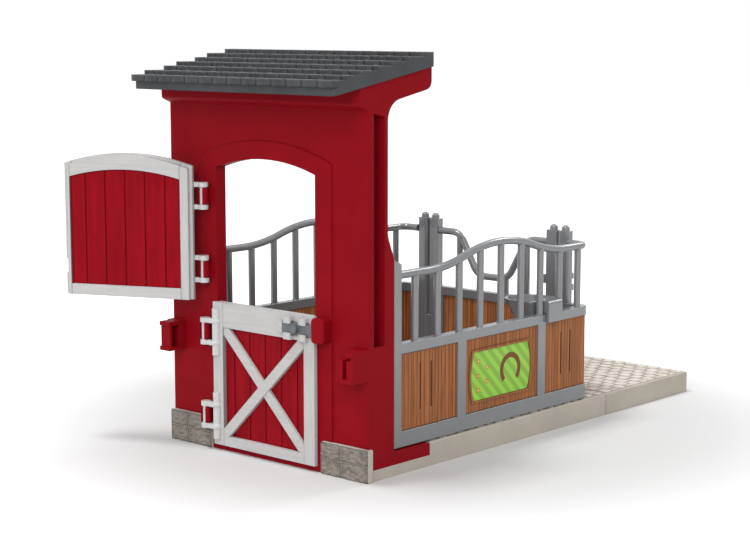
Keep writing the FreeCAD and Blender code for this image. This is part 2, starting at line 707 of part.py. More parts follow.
def front_wall():
    """The red wall: panel, lined and trimmed doorway, end plates, cornice, feet and hinge clips."""
    body = new_body("wall_body")
    stone_top = size.stone_height + size.seat_gap
    inner = size.stone_inner - size.seat_gap
    trim = door_half + size.trim_width
    panel = [at(-half, size.wall_top), at(-half, stone_top), at(-inner, stone_top), at(-inner, 0),
             at(inner, 0), at(inner, stone_top), at(half, stone_top), at(half, size.wall_top)]
    pad(body, "XZ", 0, size.wall_skin, panel, doorway())
    lining = doorway(size.jamb_wall)
    lining[0] = at(-door_half - size.jamb_wall, 0)
    lining[1] = at(door_half + size.jamb_wall, 0)
    pad(body, "XZ", size.wall_skin, size.jamb_depth, lining, doorway())
    frame = [at(-trim, size.trim_spring), at(-trim, stone_top), at(-inner, stone_top), at(-inner, 0),
             at(inner, 0), at(inner, stone_top), at(trim, stone_top),
             at(trim, size.trim_spring, bow=size.trim_rise)]
    pad(body, "XZ", -size.trim_proud, 0, frame, doorway())
    cornice = [at(-size.nose_out, size.wall_top + size.nose_slope, size.nose_round), at(0, size.wall_top),
               at(size.beam_depth, size.wall_top), at(size.beam_depth, roof_under(size.beam_depth)),
               at(-size.nose_out, roof_under(-size.nose_out))]
    pad(body, "YZ", -half, half, cornice)
    pad(body, "YZ", half - size.side_width, half, end_plate())
    pad(body, "YZ", -half, size.side_width - half, end_plate())
    channel_rear = size.side_depth - size.channel_back
    channel = [at(size.channel_front, size.channel_low), at(channel_rear, size.channel_low),
               at(channel_rear, channel_high - size.channel_slope), at(size.channel_front, channel_high)]
    pocket(body, "YZ", half - size.channel_depth, half, channel)
    pocket(body, "YZ", -half, size.channel_depth - half, channel)
    clips = []
    for low in (size.upper_hinge_low, size.upper_hinge_high, size.lower_hinge_low, size.lower_hinge_high):
        start = low + size.arm_high + size.run_gap
        clips.append(hinge_clip(start, low + size.arm_pitch - size.run_gap))
    return finish("front_wall", fuse("front_wall", body, *clips))


def connector_left():
    """Socket block on the wall: back plate, flanged box and an opening towards the doorway."""
    body = new_body("connector_left")
    outer = size.socket_side - half
    inner = outer + size.socket_width
    low = size.link_low + size.link_flange
    high = size.link_high - size.link_flange
    front = size.link_lip - size.link_out
    pad(body, "XZ", -size.link_plate, 0, rectangle(-half, size.link_low, inner, size.link_high))
    flange = rectangle(outer - size.link_lip, -size.link_out, inner, -size.link_plate)
    pad(body, "XY", size.link_low, low, flange)
    pad(body, "XY", high, size.link_high, flange)
    pad(body, "XY", low, high, rectangle(outer, front, inner, -size.link_plate))
    pocket(body, "YZ", outer + size.link_web, inner,
           rectangle(front + size.link_web, low, -size.link_plate, high))
    return finish("connector_left", body)


def connector_right():
    """Hook block on the wall: back plate, block, slot and tongue over one flange, a short flange above."""
    body = new_body("connector_right")
    block = half - size.hook_block
    slot = block - size.hook_slot
    inner = slot - size.hook_tongue
    low = size.link_low + size.link_flange
    high = size.link_high - size.link_flange
    top = high - size.hook_gap
    front = size.link_lip - size.link_out
    pad(body, "XZ", -size.link_plate, 0, rectangle(inner, size.link_low, half, size.link_high))
    pad(body, "XY", size.link_low, low, rectangle(inner, -size.link_out, half, -size.link_plate))
    pad(body, "XY", low, top, rectangle(inner, front, slot, -size.link_plate),
        rectangle(block, front, half, -size.link_plate))
    pad(body, "XY", high, size.link_high, rectangle(block, -size.link_out, half, -size.link_plate))
    pad(body, "XY", top, high, rectangle(half - size.link_web, front, half, -size.link_plate))
    return finish("connector_right", body)


def bolt_catch():
    """Rounded block on the trim with a pocket for the door bolt."""
    body = new_body("bolt_catch")
    x0 = hinge_x + leaf_end + size.catch_gap
    x1 = x0 + size.catch_width
    back = -size.trim_proud
    front = back - size.catch_out
    pad(body, "XZ", front, back, rectangle(x0, size.catch_low, x1, size.catch_high, size.catch_round))
    round_edges(body, size.catch_round / 2, lambda edge: abs(edge.BoundBox.YMax - front.value) < 1e-6)
    leaf_face = hinge_y + size.leaf_front
    room = rectangle(leaf_face - size.bolt_thick - size.run_gap * 3, size.bolt_low - size.run_gap * 2,
                     leaf_face + size.run_gap, size.bolt_high + size.run_gap * 2)
    pocket(body, "YZ", x0, x0 + size.catch_depth, room)
    return finish("bolt_catch", body)


# Roof

def tile_front(row):
    """Depth of a course's foremost points."""
    return size.roof_front - size.tile_out + size.tile_pitch * row


def tile_course(row, columns, back):
    """Outline of a course of tiles in plan, each with a rounded front; odd courses end in half tiles."""
    tip = tile_front(row)
    joint = tip + size.tile_bow
    end = size.roof_half
    wide = end * 2 / columns
    if row % 2:
        front = [at(wide * (i + 0.5) - end, joint, bow=size.tile_bow) for i in range(columns)]
        front[-1] = front[-1]._replace(bow=size.tile_bow / 4)
        front = [at(-end, tip, bow=size.tile_bow / 4)] + front + [at(end, tip)]
    else:
        front = [at(wide * i - end, joint, bow=size.tile_bow) for i in range(columns)] + [at(end, joint)]
    return front + [at(end, back), at(-end, back)]


def roof(rows=7, columns=14):
    """Sloping slab with stepped courses of rounded tiles."""
    body = new_body("roof")
    front = eave + size.roof_slab
    back = ridge + size.roof_slab_back
    slab = [at(size.roof_front, eave), at(size.roof_back, ridge),
            at(size.roof_back, back), at(size.roof_front, front)]
    pad(body, "YZ", -size.roof_half, size.roof_half, slab)
    round_edges(body, size.roof_round, lambda edge: upright(edge) and edge.BoundBox.YMax < 0)
    rise = (back - front) / (size.roof_back - size.roof_front) * size.tile_pitch
    for row in range(rows):
        low = front + rise * row
        end = tile_front(row + 1) + size.tile_bow if row + 1 < rows else size.roof_back
        pad(body, "XY", low, low + size.tile_step, tile_course(row, columns, end))
    return finish("roof", body)


# Doors, drawn closed with the hinge axis as origin

def hang(thing, degrees=0):
    """Puts a door piece on the wall's hinge axis, turned open by an angle."""
    thing.Placement = FreeCAD.Placement(V(), FreeCAD.Rotation(V(0, 0, -1), measure(degrees).value))
    bind(thing, "Placement.Rotation.Angle", degrees)
    return move(thing, hinge_x, hinge_y, 0)


def rear_frame_sides():
    """Left and right edge of the frame that dips into the doorway."""
    return size.hinge_side + size.leaf_side, size.hinge_side + size.doorway_width - size.leaf_side


def grooves(body, first, last, low, high, front):
    """Plank joints on both faces of a door panel."""
    middle = (first + last) / 2
    lines = []
    for i in range(-2, 3):
        x = middle + size.plank_pitch * i
        lines.append(rectangle(x - size.groove_width / 2, low, x + size.groove_width / 2, high))
    back = front + size.plank_thick
    pocket(body, "XZ", front, front + size.groove_depth, *lines)
    pocket(body, "XZ", back - size.groove_depth, back, *lines)


def brace(x0, z0, x1, z1):
    """Outline of a diagonal bar from the left end to the right end of an opening."""
    wide = x1 - x0
    tall = z1 - z0
    length = root(wide * wide + tall * tall)
    dx = size.brace_width / 2 * length / tall
    dz = size.brace_width / 2 * length / wide
    if tall.value > 0:
        return [at(x0, z0), at(x0 + dx, z0), at(x1, z1 - dz), at(x1, z1), at(x1 - dx, z1), at(x0, z0 + dz)]
    return [at(x0, z0), at(x0, z0 - dz), at(x1 + dx, z1), at(x1, z1), at(x1, z1 + dz), at(x0 - dx, z0)]


def lower_opening():
    """Left, bottom, right and top of the lower door's panel."""
    return (size.leaf_start + size.lower_stile, size.lower_bottom + size.lower_rail,
            leaf_end - size.lower_stile, size.lower_top - size.lower_head)


def bolt_guides(body, centres, low, high, face, thick, plane="XZ", outward=-1):
    """Pairs of hooked guides above and below a sliding bolt."""
    lip = face + (size.run_gap * 2 + thick) * outward
    top = lip + size.guide_lip * outward
    for x in centres:
        x1 = x + size.guide_width
        above = high + size.run_gap
        below = low - size.run_gap
        over = high - size.guide_lip
        under = low + size.guide_lip
        walls = [rectangle(x, above, x1, above + size.guide_wall),
                 rectangle(x, below - size.guide_wall, x1, below)]
        lips = [rectangle(x, over, x1, above + size.guide_wall),
                rectangle(x, below - size.guide_wall, x1, under)]
        near, far = (lip, face) if outward < 0 else (face, lip)
        pad(body, plane, near, far, *walls)
        near, far = (top, lip) if outward < 0 else (lip, top)
        pad(body, plane, near, far, *lips)


def lower_door_frame():
    """Rebated frame of the lower door with its cross brace and the guides of the bolt."""
    body = new_body("lower_door_frame")
    front = size.leaf_front
    middle = front + size.leaf_lap
    x0, z0, x1, z1 = lower_opening()
    opening = rectangle(x0, z0, x1, z1)
    leaf = rectangle(size.leaf_start, size.lower_bottom, leaf_end, size.lower_top)
    pad(body, "XZ", front, middle, leaf, opening)
    left, right = rear_frame_sides()
    pad(body, "XZ", middle, middle + size.leaf_back,
        rectangle(left, size.lower_bottom, right, size.lower_top), opening)
    pad(body, "XZ", front, middle, brace(x0, z0, x1, z1))
    pad(body, "XZ", front + size.brace_step, middle, brace(x0, z1, x1, z0))
    bolt_guides(body, (size.guide_first, size.guide_second), size.bolt_low, size.bolt_high, front,
                size.bolt_thick)
    stop_end = size.bolt_start - size.run_gap
    stop_out = front - size.bolt_thick - size.run_gap
    pad(body, "XZ", stop_out, front,
        rectangle(stop_end - size.stop_width, size.bolt_low, stop_end, size.bolt_high, size.bolt_round))
    return finish("lower_door_frame", hang(body))


def lower_door_panel():
    """Plank panel of the lower door."""
    body = new_body("lower_door_panel")
    x0, z0, x1, z1 = lower_opening()
    front = size.leaf_front + size.leaf_lap
    pad(body, "XZ", front, front + size.plank_thick, rectangle(x0, z0, x1, z1))
    grooves(body, x0, x1, z0, z1, front)
    return finish("lower_door_panel", hang(body))


def upper_opening():
    """Outline of the upper door's panel."""
    x0 = size.leaf_start + size.upper_stile
    x1 = leaf_end - size.upper_edge
    z0 = size.upper_bottom + size.upper_rail
    spring = size.doorway_spring + size.upper_lap - size.upper_head
    return [at(x0, z0), at(x1, z0), at(x1, spring, bow=size.upper_inner_rise), at(x0, spring)]


def upper_door_frame():
    """Rebated frame of the upper door with its arched head and a notch in the free stile."""
    body = new_body("upper_door_frame")
    front = size.leaf_front
    middle = front + size.leaf_lap
    spring = size.doorway_spring + size.upper_lap
    cut_in = leaf_end - size.notch_depth
    outline = [at(size.leaf_start, size.upper_bottom), at(leaf_end, size.upper_bottom),
               at(leaf_end, size.notch_low), at(cut_in, size.notch_low), at(cut_in, size.notch_high),
               at(leaf_end, size.notch_high), at(leaf_end, spring, bow=size.doorway_rise),
               at(size.leaf_start, spring)]
    pad(body, "XZ", front, middle, outline, upper_opening())
    left, right = rear_frame_sides()
    low_spring = size.doorway_spring - size.leaf_side
    rear = [at(left, size.upper_bottom), at(right, size.upper_bottom),
            at(right, low_spring, bow=size.doorway_rise), at(left, low_spring)]
    pad(body, "XZ", middle, middle + size.leaf_back, rear, upper_opening())
    return finish("upper_door_frame", hang(body, size.upper_open))


def upper_door_panel():
    """Plank panel of the upper door with an arched top."""
    body = new_body("upper_door_panel")
    front = size.leaf_front + size.leaf_lap
    outline = upper_opening()
    pad(body, "XZ", front, front + size.plank_thick, outline)
    top = outline[2].y + size.upper_inner_rise
    grooves(body, outline[0].x, outline[1].x, outline[0].y, top, front)
    return finish("upper_door_panel", hang(body, size.upper_open))


def hinge(low):
    """One strap hinge: two round-ended arms, the pin between them and a rounded strap on the stile."""
    arms = []
    for start in (low, low + size.arm_pitch):
        end = start + size.arm_high
        arms.append(rod("Z", size.arm_end, start, end, 0, 0, 0))
        arms.append(box(0, size.leaf_start + size.strap_start + size.strap_width / 2,
                        -size.leaf_front, size.leaf_front, start, end))
    pin = rod("Z", size.hinge_pin, low, low + size.arm_pitch + size.arm_high, 0, 0, 0)
    middle = low + (size.arm_pitch + size.arm_high) / 2
    centre = size.leaf_start + size.strap_start + size.strap_width / 2
    bar = rod("Z", size.strap_width / 2, middle - size.strap_length / 2, middle + size.strap_length / 2,
              centre, size.leaf_front, 0)
    behind = box(centre - size.strap_width, centre + size.strap_width, size.leaf_front,
                 size.leaf_front + size.strap_width, middle - size.strap_length, middle + size.strap_length)
    return fuse("hinge", *arms, pin, cut("strap", bar, behind))


def door_hinges(label, lows, degrees):
    return finish(label, hang(group(label, *[hinge(low) for low in lows]), degrees))


def lower_bolt():
    """Sliding bolt of the lower door with a round finger knob."""
    body = new_body("lower_bolt")
    back = size.leaf_front - size.run_gap
    front = back - size.bolt_thick
    end = size.bolt_start + size.bolt_length
    strip = rectangle(size.bolt_start, size.bolt_low, end, size.bolt_high, size.bolt_round)
    pad(body, "XZ", front, back, strip)
    gap_middle = (size.guide_first + size.guide_width + size.guide_second) / 2
    middle = (size.bolt_low + size.bolt_high) / 2
    pad(body, "XZ", front - size.knob_out, front, disc(gap_middle, middle, size.knob_radius))
    round_edges(body, size.knob_round,
                lambda edge: abs(edge.BoundBox.YMax - (front - size.knob_out).value) < 1e-6)
    return finish("lower_bolt", hang(body))


# Fences

def wave_ends():
    """Depths where the top rail's wave starts and ends."""
    return (size.fence_front + size.fence_post + size.wave_lead, rail_span - size.rail_bend - size.wave_tail)


def wave_shape():
    """Middle, half length and arc radius of the top rail's wave."""
    near, far = wave_ends()
    length = (far - near) / 2
    radius = (length * length + size.wave_rise * size.wave_rise) / (size.wave_rise * 4)
    return (near + far) / 2, length, radius


def rail_at(y):
    """Height of the top rail's axis at a depth y."""
    middle, length, radius = wave_shape()
    offset = y - middle
    if abs(offset.value) < length.value / 2:
        return size.rail_height + size.wave_rise - radius + root(radius * radius - offset * offset)
    if abs(offset.value) < length.value:
        rest = length - offset if offset.value > 0 else length + offset
        return size.rail_height + radius - root(radius * radius - rest * rest)
    return size.rail_height


def wave_path():
    """Axis of the fence's top rail, level at both ends with a crest in the middle."""
    middle, length, radius = wave_shape()
    near, far = wave_ends()
    chord = (length * length + size.wave_rise * size.wave_rise) / 4
    sag = radius - root(radius * radius - chord / 4)
    turn = size.rail_height + size.wave_rise / 2
    return [at(size.fence_front + size.fence_post / 2, size.rail_height),
            at(near, size.rail_height, bow=sag),
            at(middle - length / 2, turn, bow=-(size.wave_rise / 2)),
            at(middle + length / 2, turn, bow=sag), at(far, size.rail_height)]


def bend_path():
    """Axis of the top rail from the end of its wave round the corner to the corner post."""
    return [at(fence_centre, wave_ends()[1]), at(fence_centre, rail_span, size.rail_bend),
            at(size.post_inner + size.post_width, rail_span)]


def fence_plan(inset=0, start=None):
    """L-shaped outline of a fence layer in plan, from a front edge round the corner to the post."""
    start = start or size.fence_front
    near = fence_inner + inset
    far = fence_outer - inset
    inside = size.corner_back - size.fence_thick + inset
    outside = size.corner_back - inset
    post = size.post_inner + size.post_width
    return [at(near, start), at(far, start), at(far, outside, size.corner_round - inset),
            at(post, outside), at(post, inside),
            at(near, inside, size.corner_round - size.fence_thick + inset)]


def fence_frame():
    """Side fence: posts, rails, round bars, waved top rail bent round the corner, and pegs."""
    body = new_body("fence_frame")
    pad(body, "XY", size.fence_low, size.fence_rail, fence_plan())
    pad(body, "XY", size.fence_mid, size.fence_shelf, fence_plan())
    post = size.fence_front + size.fence_post
    crown = size.rail_height + size.fence_crown
    outline = [at(size.fence_front, size.fence_low), at(post, size.fence_low),
               at(post, crown - size.fence_slant), at(size.fence_front, crown)]
    dividers = [rectangle(y, size.fence_rail, y + size.divider_width, size.fence_mid)
                for y in (divider_one, divider_two)]
    pad(body, "YZ", fence_inner, fence_outer, outline)
    pad(body, "YZ", fence_inner, fence_outer, *dividers)
    for i in range(bar_count):
        y = size.bar_first + bar_pitch * i
        pad(body, "XY", size.fence_shelf, rail_at(y), disc(fence_centre, y, size.bar_radius))
    sweep(body, "YZ", fence_centre, wave_path(), size.rail_radius)
    sweep(body, "XY", size.rail_height, bend_path(), size.rail_radius)
    collars = [disc(fence_centre, y, size.peg_collar) for y in pegs()]
    pad(body, "XY", size.base_height, size.fence_low, *collars)
    pad(body, "XY", size.base_height - size.peg_length, size.base_height,
        *[disc(fence_centre, y, size.peg_radius) for y in pegs()])
    return body


def infill(label, start, end):
    """A plain wood panel of a side fence."""
    body = new_body(label)
    pad(body, "YZ", fence_centre - size.infill_thick / 2, fence_centre + size.infill_thick / 2,
        rectangle(start, size.fence_rail, end, size.fence_mid))
    return body


def engrave(body, start):
    """Two upright lines cut into both faces of a wood panel."""
    outer = fence_centre + size.infill_thick / 2
    inner = fence_centre - size.infill_thick / 2
    lines = []
    for i in range(2):
        y = start + size.slot_pitch * i
        lines.append(rectangle(y, size.slot_low, y + size.slot_width, size.slot_high))
    pocket(body, "YZ", outer - size.slot_depth, outer, *lines)
    pocket(body, "YZ", inner, inner + size.slot_depth, *lines)


def front_panel():
    """Wood panel beside the front post."""
    start = size.fence_front + size.fence_post
    body = infill("panel_front", start, divider_one)
    engrave(body, start + size.slot_first)
    return body


def rear_panel():
    """Wood panel that is bent round the fence corner up to the corner post."""
    body = new_body("panel_rear")
    start = divider_two + size.divider_width
    pad(body, "XY", size.fence_rail, size.fence_mid,
        fence_plan((size.fence_thick - size.infill_thick) / 2, start))
    engrave(body, start + size.slot_first)
    return body


def sign_outline(inset=0):
    """Barrel-shaped outline on the middle panel."""
    y0 = divider_one + size.frame_front + inset
    y1 = divider_two - size.frame_back - inset
    z0 = size.frame_low + inset
    z1 = size.frame_high - inset
    return [at(y0, z0), at(y1, z0, bow=size.frame_bow), at(y1, z1), at(y0, z1, bow=size.frame_bow)]


def middle_panel():
    """Wood panel between the dividers with its raised rim."""
    body = infill("panel_middle", divider_one + size.divider_width, divider_two)
    outer = fence_centre + size.infill_thick / 2
    pad(body, "YZ", outer, outer + size.frame_proud, sign_outline(), sign_outline(size.frame_rim))
    return body


def sticker():
    """Thin sticker inside the raised rim."""
    body = new_body("fence_sticker")
    outer = fence_centre + size.infill_thick / 2
    pad(body, "YZ", outer, outer + size.sticker_thick, sign_outline(size.frame_rim + size.seat_gap))
    return finish("fence_sticker", body)


def fences():
    """The right fence and its mirror image on the left."""
    pieces = [("fence_frame", fence_frame()), ("fence_panel_front", front_panel()),
              ("fence_panel_middle", middle_panel()), ("fence_panel_rear", rear_panel())]
    for name, piece in pieces:
        finish("right_" + name, piece)
        finish("left_" + name, mirror("left_" + name, piece))


# Gate and corner posts

def knob_on(body, x):
    """A small dome on top of a post."""
    top = size.post_top + size.dome_stem + size.dome_radius
    pad(body, "XY", size.post_top, top, disc(x, gate_y, size.dome_radius))
    round_edges(body, size.dome_round, level_with(top))


def bolt_plane():
    """Depth behind which the gate bolt runs."""
    return post_back


def corner_post(label, side):
    """Square post with rounded edges and a dome."""
    body = new_body(label)
    near = size.post_inner * side
    far = (size.post_inner + size.post_width) * side
    x0, x1 = (near, far) if side > 0 else (far, near)
    pad(body, "XY", size.base_height, size.post_top,
        rectangle(x0, post_front, x1, post_back, size.post_round))
    knob_on(body, (near + far) / 2)
    return body


def right_corner_post():
    """Corner post with the keeper of the gate bolt on its rear."""
    body = corner_post("right_corner_post", 1)
    bolt_guides(body, [size.post_inner + size.run_gap * 2], size.gate_bolt_low, size.gate_bolt_high,
                bolt_plane(), size.bolt_thick, outward=1)
    return finish("right_corner_post", body)


def left_corner_post():
    """Corner post with the round socket that carries the gate's pin."""
    post = corner_post("left_post_body", -1)
    top = size.gate_ledge - size.run_gap
    barrel = rod("Z", size.socket_radius, size.base_height, top, gate_hinge, gate_y, 0)
    web = box(-size.post_inner - size.post_round, gate_hinge,
              gate_y - size.socket_web / 2, gate_y + size.socket_web / 2, size.base_height, top)
    deep = size.gate_ledge - size.pintle_length - size.run_gap
    bore = rod("Z", pivot_hole, deep, top, gate_hinge, gate_y, 0)
    return finish("left_corner_post", cut("left_corner_post", fuse("left_post", post, barrel, web), bore))


def gate_window():
    """Left and right edge of the gate's panel."""
    return gate_hinge + size.gate_toe + size.gate_toe_width, gate_half - size.gate_stile


def gate_frame():
    """Gate with round bars, a dipping top rail, domes, the hinge pin and the bolt's guides."""
    body = new_body("gate_frame")
    front = gate_y - size.gate_thick / 2
    back = gate_y + size.gate_thick / 2
    toe = gate_hinge + size.gate_toe
    x0, x1 = gate_window()
    outline = [at(toe, size.gate_low), at(gate_half, size.gate_low), at(gate_half, size.fence_shelf),
               at(-gate_half, size.fence_shelf), at(-gate_half, size.gate_ledge), at(toe, size.gate_ledge)]
    pad(body, "XZ", front, back, outline, rectangle(x0, size.fence_rail, x1, size.fence_mid))
    inner = gate_half - size.gate_stile
    pad(body, "XZ", front, back, rectangle(-gate_half, size.fence_shelf, -inner, size.post_top),
        rectangle(inner, size.fence_shelf, gate_half, size.post_top))
    round_edges(body, size.post_round, lambda edge: upright(edge)
                and abs(abs(edge.BoundBox.XMin) - gate_half.value) < 1e-6)
    middle = gate_half - size.gate_stile / 2
    for x in (-middle, middle):
        knob_on(body, x)
    path = [at(-middle, size.gate_rail), at(-size.gate_flat, size.gate_rail, size.gate_bend),
            at(-size.gate_foot, size.gate_dip, size.gate_bend),
            at(size.gate_foot, size.gate_dip, size.gate_bend),
            at(size.gate_flat, size.gate_rail, size.gate_bend), at(middle, size.gate_rail)]
    sweep(body, "XZ", gate_y, path, size.rail_radius)
    for x, top in ((size.gate_flat, size.gate_rail - size.rail_radius), (size.gate_bar, size.gate_dip)):
        bars = [disc(x, gate_y, size.bar_radius), disc(-x, gate_y, size.bar_radius)]
        pad(body, "XY", size.fence_shelf, top, *bars)
    pad(body, "XY", size.gate_ledge - size.pintle_length, size.gate_ledge,
        disc(gate_hinge, gate_y, size.hinge_pin))
    guide = gate_guide()
    pad(body, "XZ", back, bolt_plane(),
        rectangle(guide, size.gate_bolt_low - size.guide_wall - size.run_gap, guide + size.guide_width,
                  size.gate_bolt_high + size.guide_wall + size.run_gap))
    bolt_guides(body, [guide], size.gate_bolt_low, size.gate_bolt_high, bolt_plane(), size.bolt_thick,
                outward=1)
    return finish("gate_frame", body)


def gate_guide():
    """Left edge of the bolt guide on the gate's latch stile."""
    return gate_half - size.run_gap - size.guide_width


def gate_panel():
    """Wood panel of the gate."""
    body = new_body("gate_panel")
    x0, x1 = gate_window()
    pad(body, "XZ", gate_y - size.infill_thick / 2, gate_y + size.infill_thick / 2,
        rectangle(x0, size.fence_rail, x1, size.fence_mid))
    return finish("gate_panel", body)


def gate_bolt():
    """Sliding bolt behind the gate with a round knob."""
    body = new_body("gate_bolt")
    near = bolt_plane() + size.run_gap
    far = near + size.bolt_thick
    knob = gate_guide() - size.run_gap - size.gate_bolt_throw - size.knob_radius
    pad(body, "XZ", near, far, rectangle(knob - size.knob_radius, size.gate_bolt_low,
                                         gate_half - size.run_gap, size.gate_bolt_high, size.bolt_round))
    middle = (size.gate_bolt_low + size.gate_bolt_high) / 2
    pad(body, "XZ", far, far + size.knob_out, disc(knob, middle, size.knob_radius))
    return finish("gate_bolt", body)


# Feed trough

def bowl_outline(scale, inset=0):
    """D-shaped outline of the trough in plan, straight towards the fence."""
    back = fence_inner - size.run_gap - inset
    side = size.bowl_width / 2 * scale - inset
    front = fence_inner - size.run_gap - (size.bowl_out - size.bowl_bow) * scale
    bow = size.bowl_bow * scale - inset
    return [at(back, bowl_middle - side), at(back, bowl_middle + side),
            at(front, bowl_middle + side, bow=bow), at(front, bowl_middle - side)]


def loft(body, kind, low, high, lower, upper):
    """A body of changing outline between two heights, added or taken away."""
    feature = body.newObject(kind, body.Name + "_loft")
    feature.Profile = new_sketch(body, "XY", low, [lower])
    feature.Sections = [new_sketch(body, "XY", high, [upper])]
    doc.recompute()
    return feature


def feed_trough():
    """Tapered trough with a hook over the fence's middle rail."""
    body = new_body("feed_trough")
    low = size.bowl_rim - size.bowl_depth
    loft(body, "PartDesign::AdditiveLoft", low, size.bowl_rim, bowl_outline(size.bowl_taper), bowl_outline(1))
    loft(body, "PartDesign::SubtractiveLoft", low + size.bowl_wall, size.bowl_rim,
         bowl_outline(size.bowl_taper, size.bowl_wall), bowl_outline(1, size.bowl_wall))
    near = fence_inner - size.run_gap
    far = fence_outer + size.run_gap
    ledge = size.fence_shelf + size.run_gap
    hook = [at(near - size.bowl_wall, low), at(near, low), at(near, ledge), at(far, ledge),
            at(far, size.hook_low), at(far + size.hook_plate, size.hook_low),
            at(far + size.hook_plate, size.hook_top, size.hook_plate),
            at(near - size.bowl_wall, size.hook_top)]
    reach = bar_pitch / 2 - size.bar_radius - size.hook_side
    pad(body, "XZ", bowl_middle - reach, bowl_middle + reach, hook)
    return finish("feed_trough", body)


base_front()
base_rear()
front_wall()
connector_left()
connector_right()
bolt_catch()
roof()
upper_door_frame()
upper_door_panel()
door_hinges("upper_door_hinges", (size.upper_hinge_low, size.upper_hinge_high), size.upper_open)
lower_door_frame()
lower_door_panel()
door_hinges("lower_door_hinges", (size.lower_hinge_low, size.lower_hinge_high), 0)
lower_bolt()
fences()
sticker()
right_corner_post()
left_corner_post()
gate_frame()
gate_panel()
gate_bolt()
feed_trough()


def write_parts():
    """Checks every object and writes each sub-part to its own file."""
    doc.recompute()
    for thing in doc.Objects:
        if "Invalid" in thing.State or "Error" in thing.State:
            raise ValueError(f"{thing.Label} is not up to date")
    os.makedirs("parts", exist_ok=True)
    for thing in nodes:
        if thing.Shape.isNull() or not thing.Shape.isValid():
            raise ValueError(f"{thing.Label} has no sound shape")
        thing.Shape.exportStep(f"parts/{thing.Label}.step")


write_parts()
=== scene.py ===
import math

import bmesh
import bpy
import numpy as np
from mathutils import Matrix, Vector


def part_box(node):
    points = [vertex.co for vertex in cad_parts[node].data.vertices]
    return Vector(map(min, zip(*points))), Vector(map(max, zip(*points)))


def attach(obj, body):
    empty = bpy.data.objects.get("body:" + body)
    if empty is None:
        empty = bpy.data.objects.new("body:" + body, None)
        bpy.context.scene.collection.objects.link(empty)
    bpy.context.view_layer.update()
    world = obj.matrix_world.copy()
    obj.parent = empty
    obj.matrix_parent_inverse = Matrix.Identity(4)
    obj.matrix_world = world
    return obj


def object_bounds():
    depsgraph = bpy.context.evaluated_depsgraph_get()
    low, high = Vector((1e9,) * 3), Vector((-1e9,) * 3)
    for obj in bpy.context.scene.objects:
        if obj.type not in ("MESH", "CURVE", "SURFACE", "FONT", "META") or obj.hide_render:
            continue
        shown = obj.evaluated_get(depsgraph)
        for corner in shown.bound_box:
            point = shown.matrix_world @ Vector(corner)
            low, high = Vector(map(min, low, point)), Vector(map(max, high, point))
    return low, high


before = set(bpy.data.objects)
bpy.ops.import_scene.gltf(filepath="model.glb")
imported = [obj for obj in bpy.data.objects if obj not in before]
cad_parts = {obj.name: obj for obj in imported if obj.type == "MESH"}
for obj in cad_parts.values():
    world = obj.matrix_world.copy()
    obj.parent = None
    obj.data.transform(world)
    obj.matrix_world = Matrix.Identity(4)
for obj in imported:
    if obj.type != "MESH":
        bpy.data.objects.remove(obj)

bl_info = {
    "name": "Toy horse stall",
    "version": (1, 0, 0),
    "blender": (4, 5, 0),
    "location": "View3D > Sidebar > Stall",
    "description": "Surface pieces, finishes and studio stage of a toy horse stall",
    "category": "Object",
}

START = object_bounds()
MM = 0.001

# Points closer than this become one
MERGE = 0.001 * MM

# Grid lines across a cobble and across a corner stone, and points round a dot and along the horseshoe
COBBLE_LINES = 9
STONE_LINES = 25
DOT_SIDES = 20
SHOE_SIDES = 40

# Ranges in which the cobbles vary: share of the full width, skew, tilt, waves and share of the full height
NARROW = (0.86, 1)
SKEW = (-0.1, 0.1)
TILT = (-0.2, 0.2)
WAVE_PITCH = (2, 6)
WAVE_START = (0, 6)
WAVE_HEIGHT = 0.12
DOMING = (0.65, 0.85)

# Plane waves that make the chisel marks of a corner stone, and the range of their pitch
MARKS = 24
MARK_PITCH = (3, 16)

# Depth of the cobbles' rims in the base
SINK = 0.05 * MM

# Dots of the sticker: share of the film's length from its front, and of its height from its middle
DOTS = ((0.13, 0.3), (0.13, 0.0), (0.13, -0.3), (0.27, 0.15), (0.27, -0.15))

# Lamps: place, turn, size and the setting that holds the power
LAMPS = {
    "front light": ((0.72, -1.17, 0.8), (1.08, 0, 0.55), 0.7, "key"),
    "top light": ((-0.2, -0.3, 1.5), (0.26, -0.14, 0), 0.3, "top"),
    "rear light": ((0.15, 1.25, 1.0), (-0.92, 0, -0.1), 0.35, "rear"),
    "low light": ((0.75, -0.95, 0.06), (1.57, 0, 0.61), 0.2, "low"),
}

# Width of the camera's sensor, half the side of the floor in metres, and plain white
SENSOR_MM = 36
FLOOR_HALF = 4
WHITE = (1, 1, 1, 1)

# Which finish each group of CAD pieces gets
FINISHES = {
    "red_plastic": ["front_wall", "connector_left", "connector_right", "bolt_catch"],
    "red_planks": ["upper_door_panel", "lower_door_panel"],
    "white_plastic": ["upper_door_hinges", "lower_door_hinges"],
    "white_upper": ["upper_door_frame"],
    "white_lower": ["lower_door_frame"],
    "slate_plastic": ["roof"],
    "stone_plastic": ["base_front", "base_rear"],
    "grey_plastic": ["right_fence_frame", "left_fence_frame", "right_corner_post", "left_corner_post",
                     "gate_frame", "gate_bolt", "feed_trough"],
    "dark_plastic": ["lower_bolt"],
    "brown_wood": ["right_fence_panel_front", "right_fence_panel_middle", "right_fence_panel_rear",
                   "left_fence_panel_front", "left_fence_panel_middle", "left_fence_panel_rear", "gate_panel"],
    "sticker_film": ["fence_sticker"],
}


# Settings

def length(name, default_mm, description):
    """A length property given in millimetres."""
    return bpy.props.FloatProperty(name=name, description=description, default=default_mm * MM,
                                   min=0, unit="LENGTH", precision=5)


def share(name, default, description):
    """A property for a part of a whole, from 0 to 1."""
    return bpy.props.FloatProperty(name=name, description=description, default=default, min=0, max=1,
                                   subtype="FACTOR")


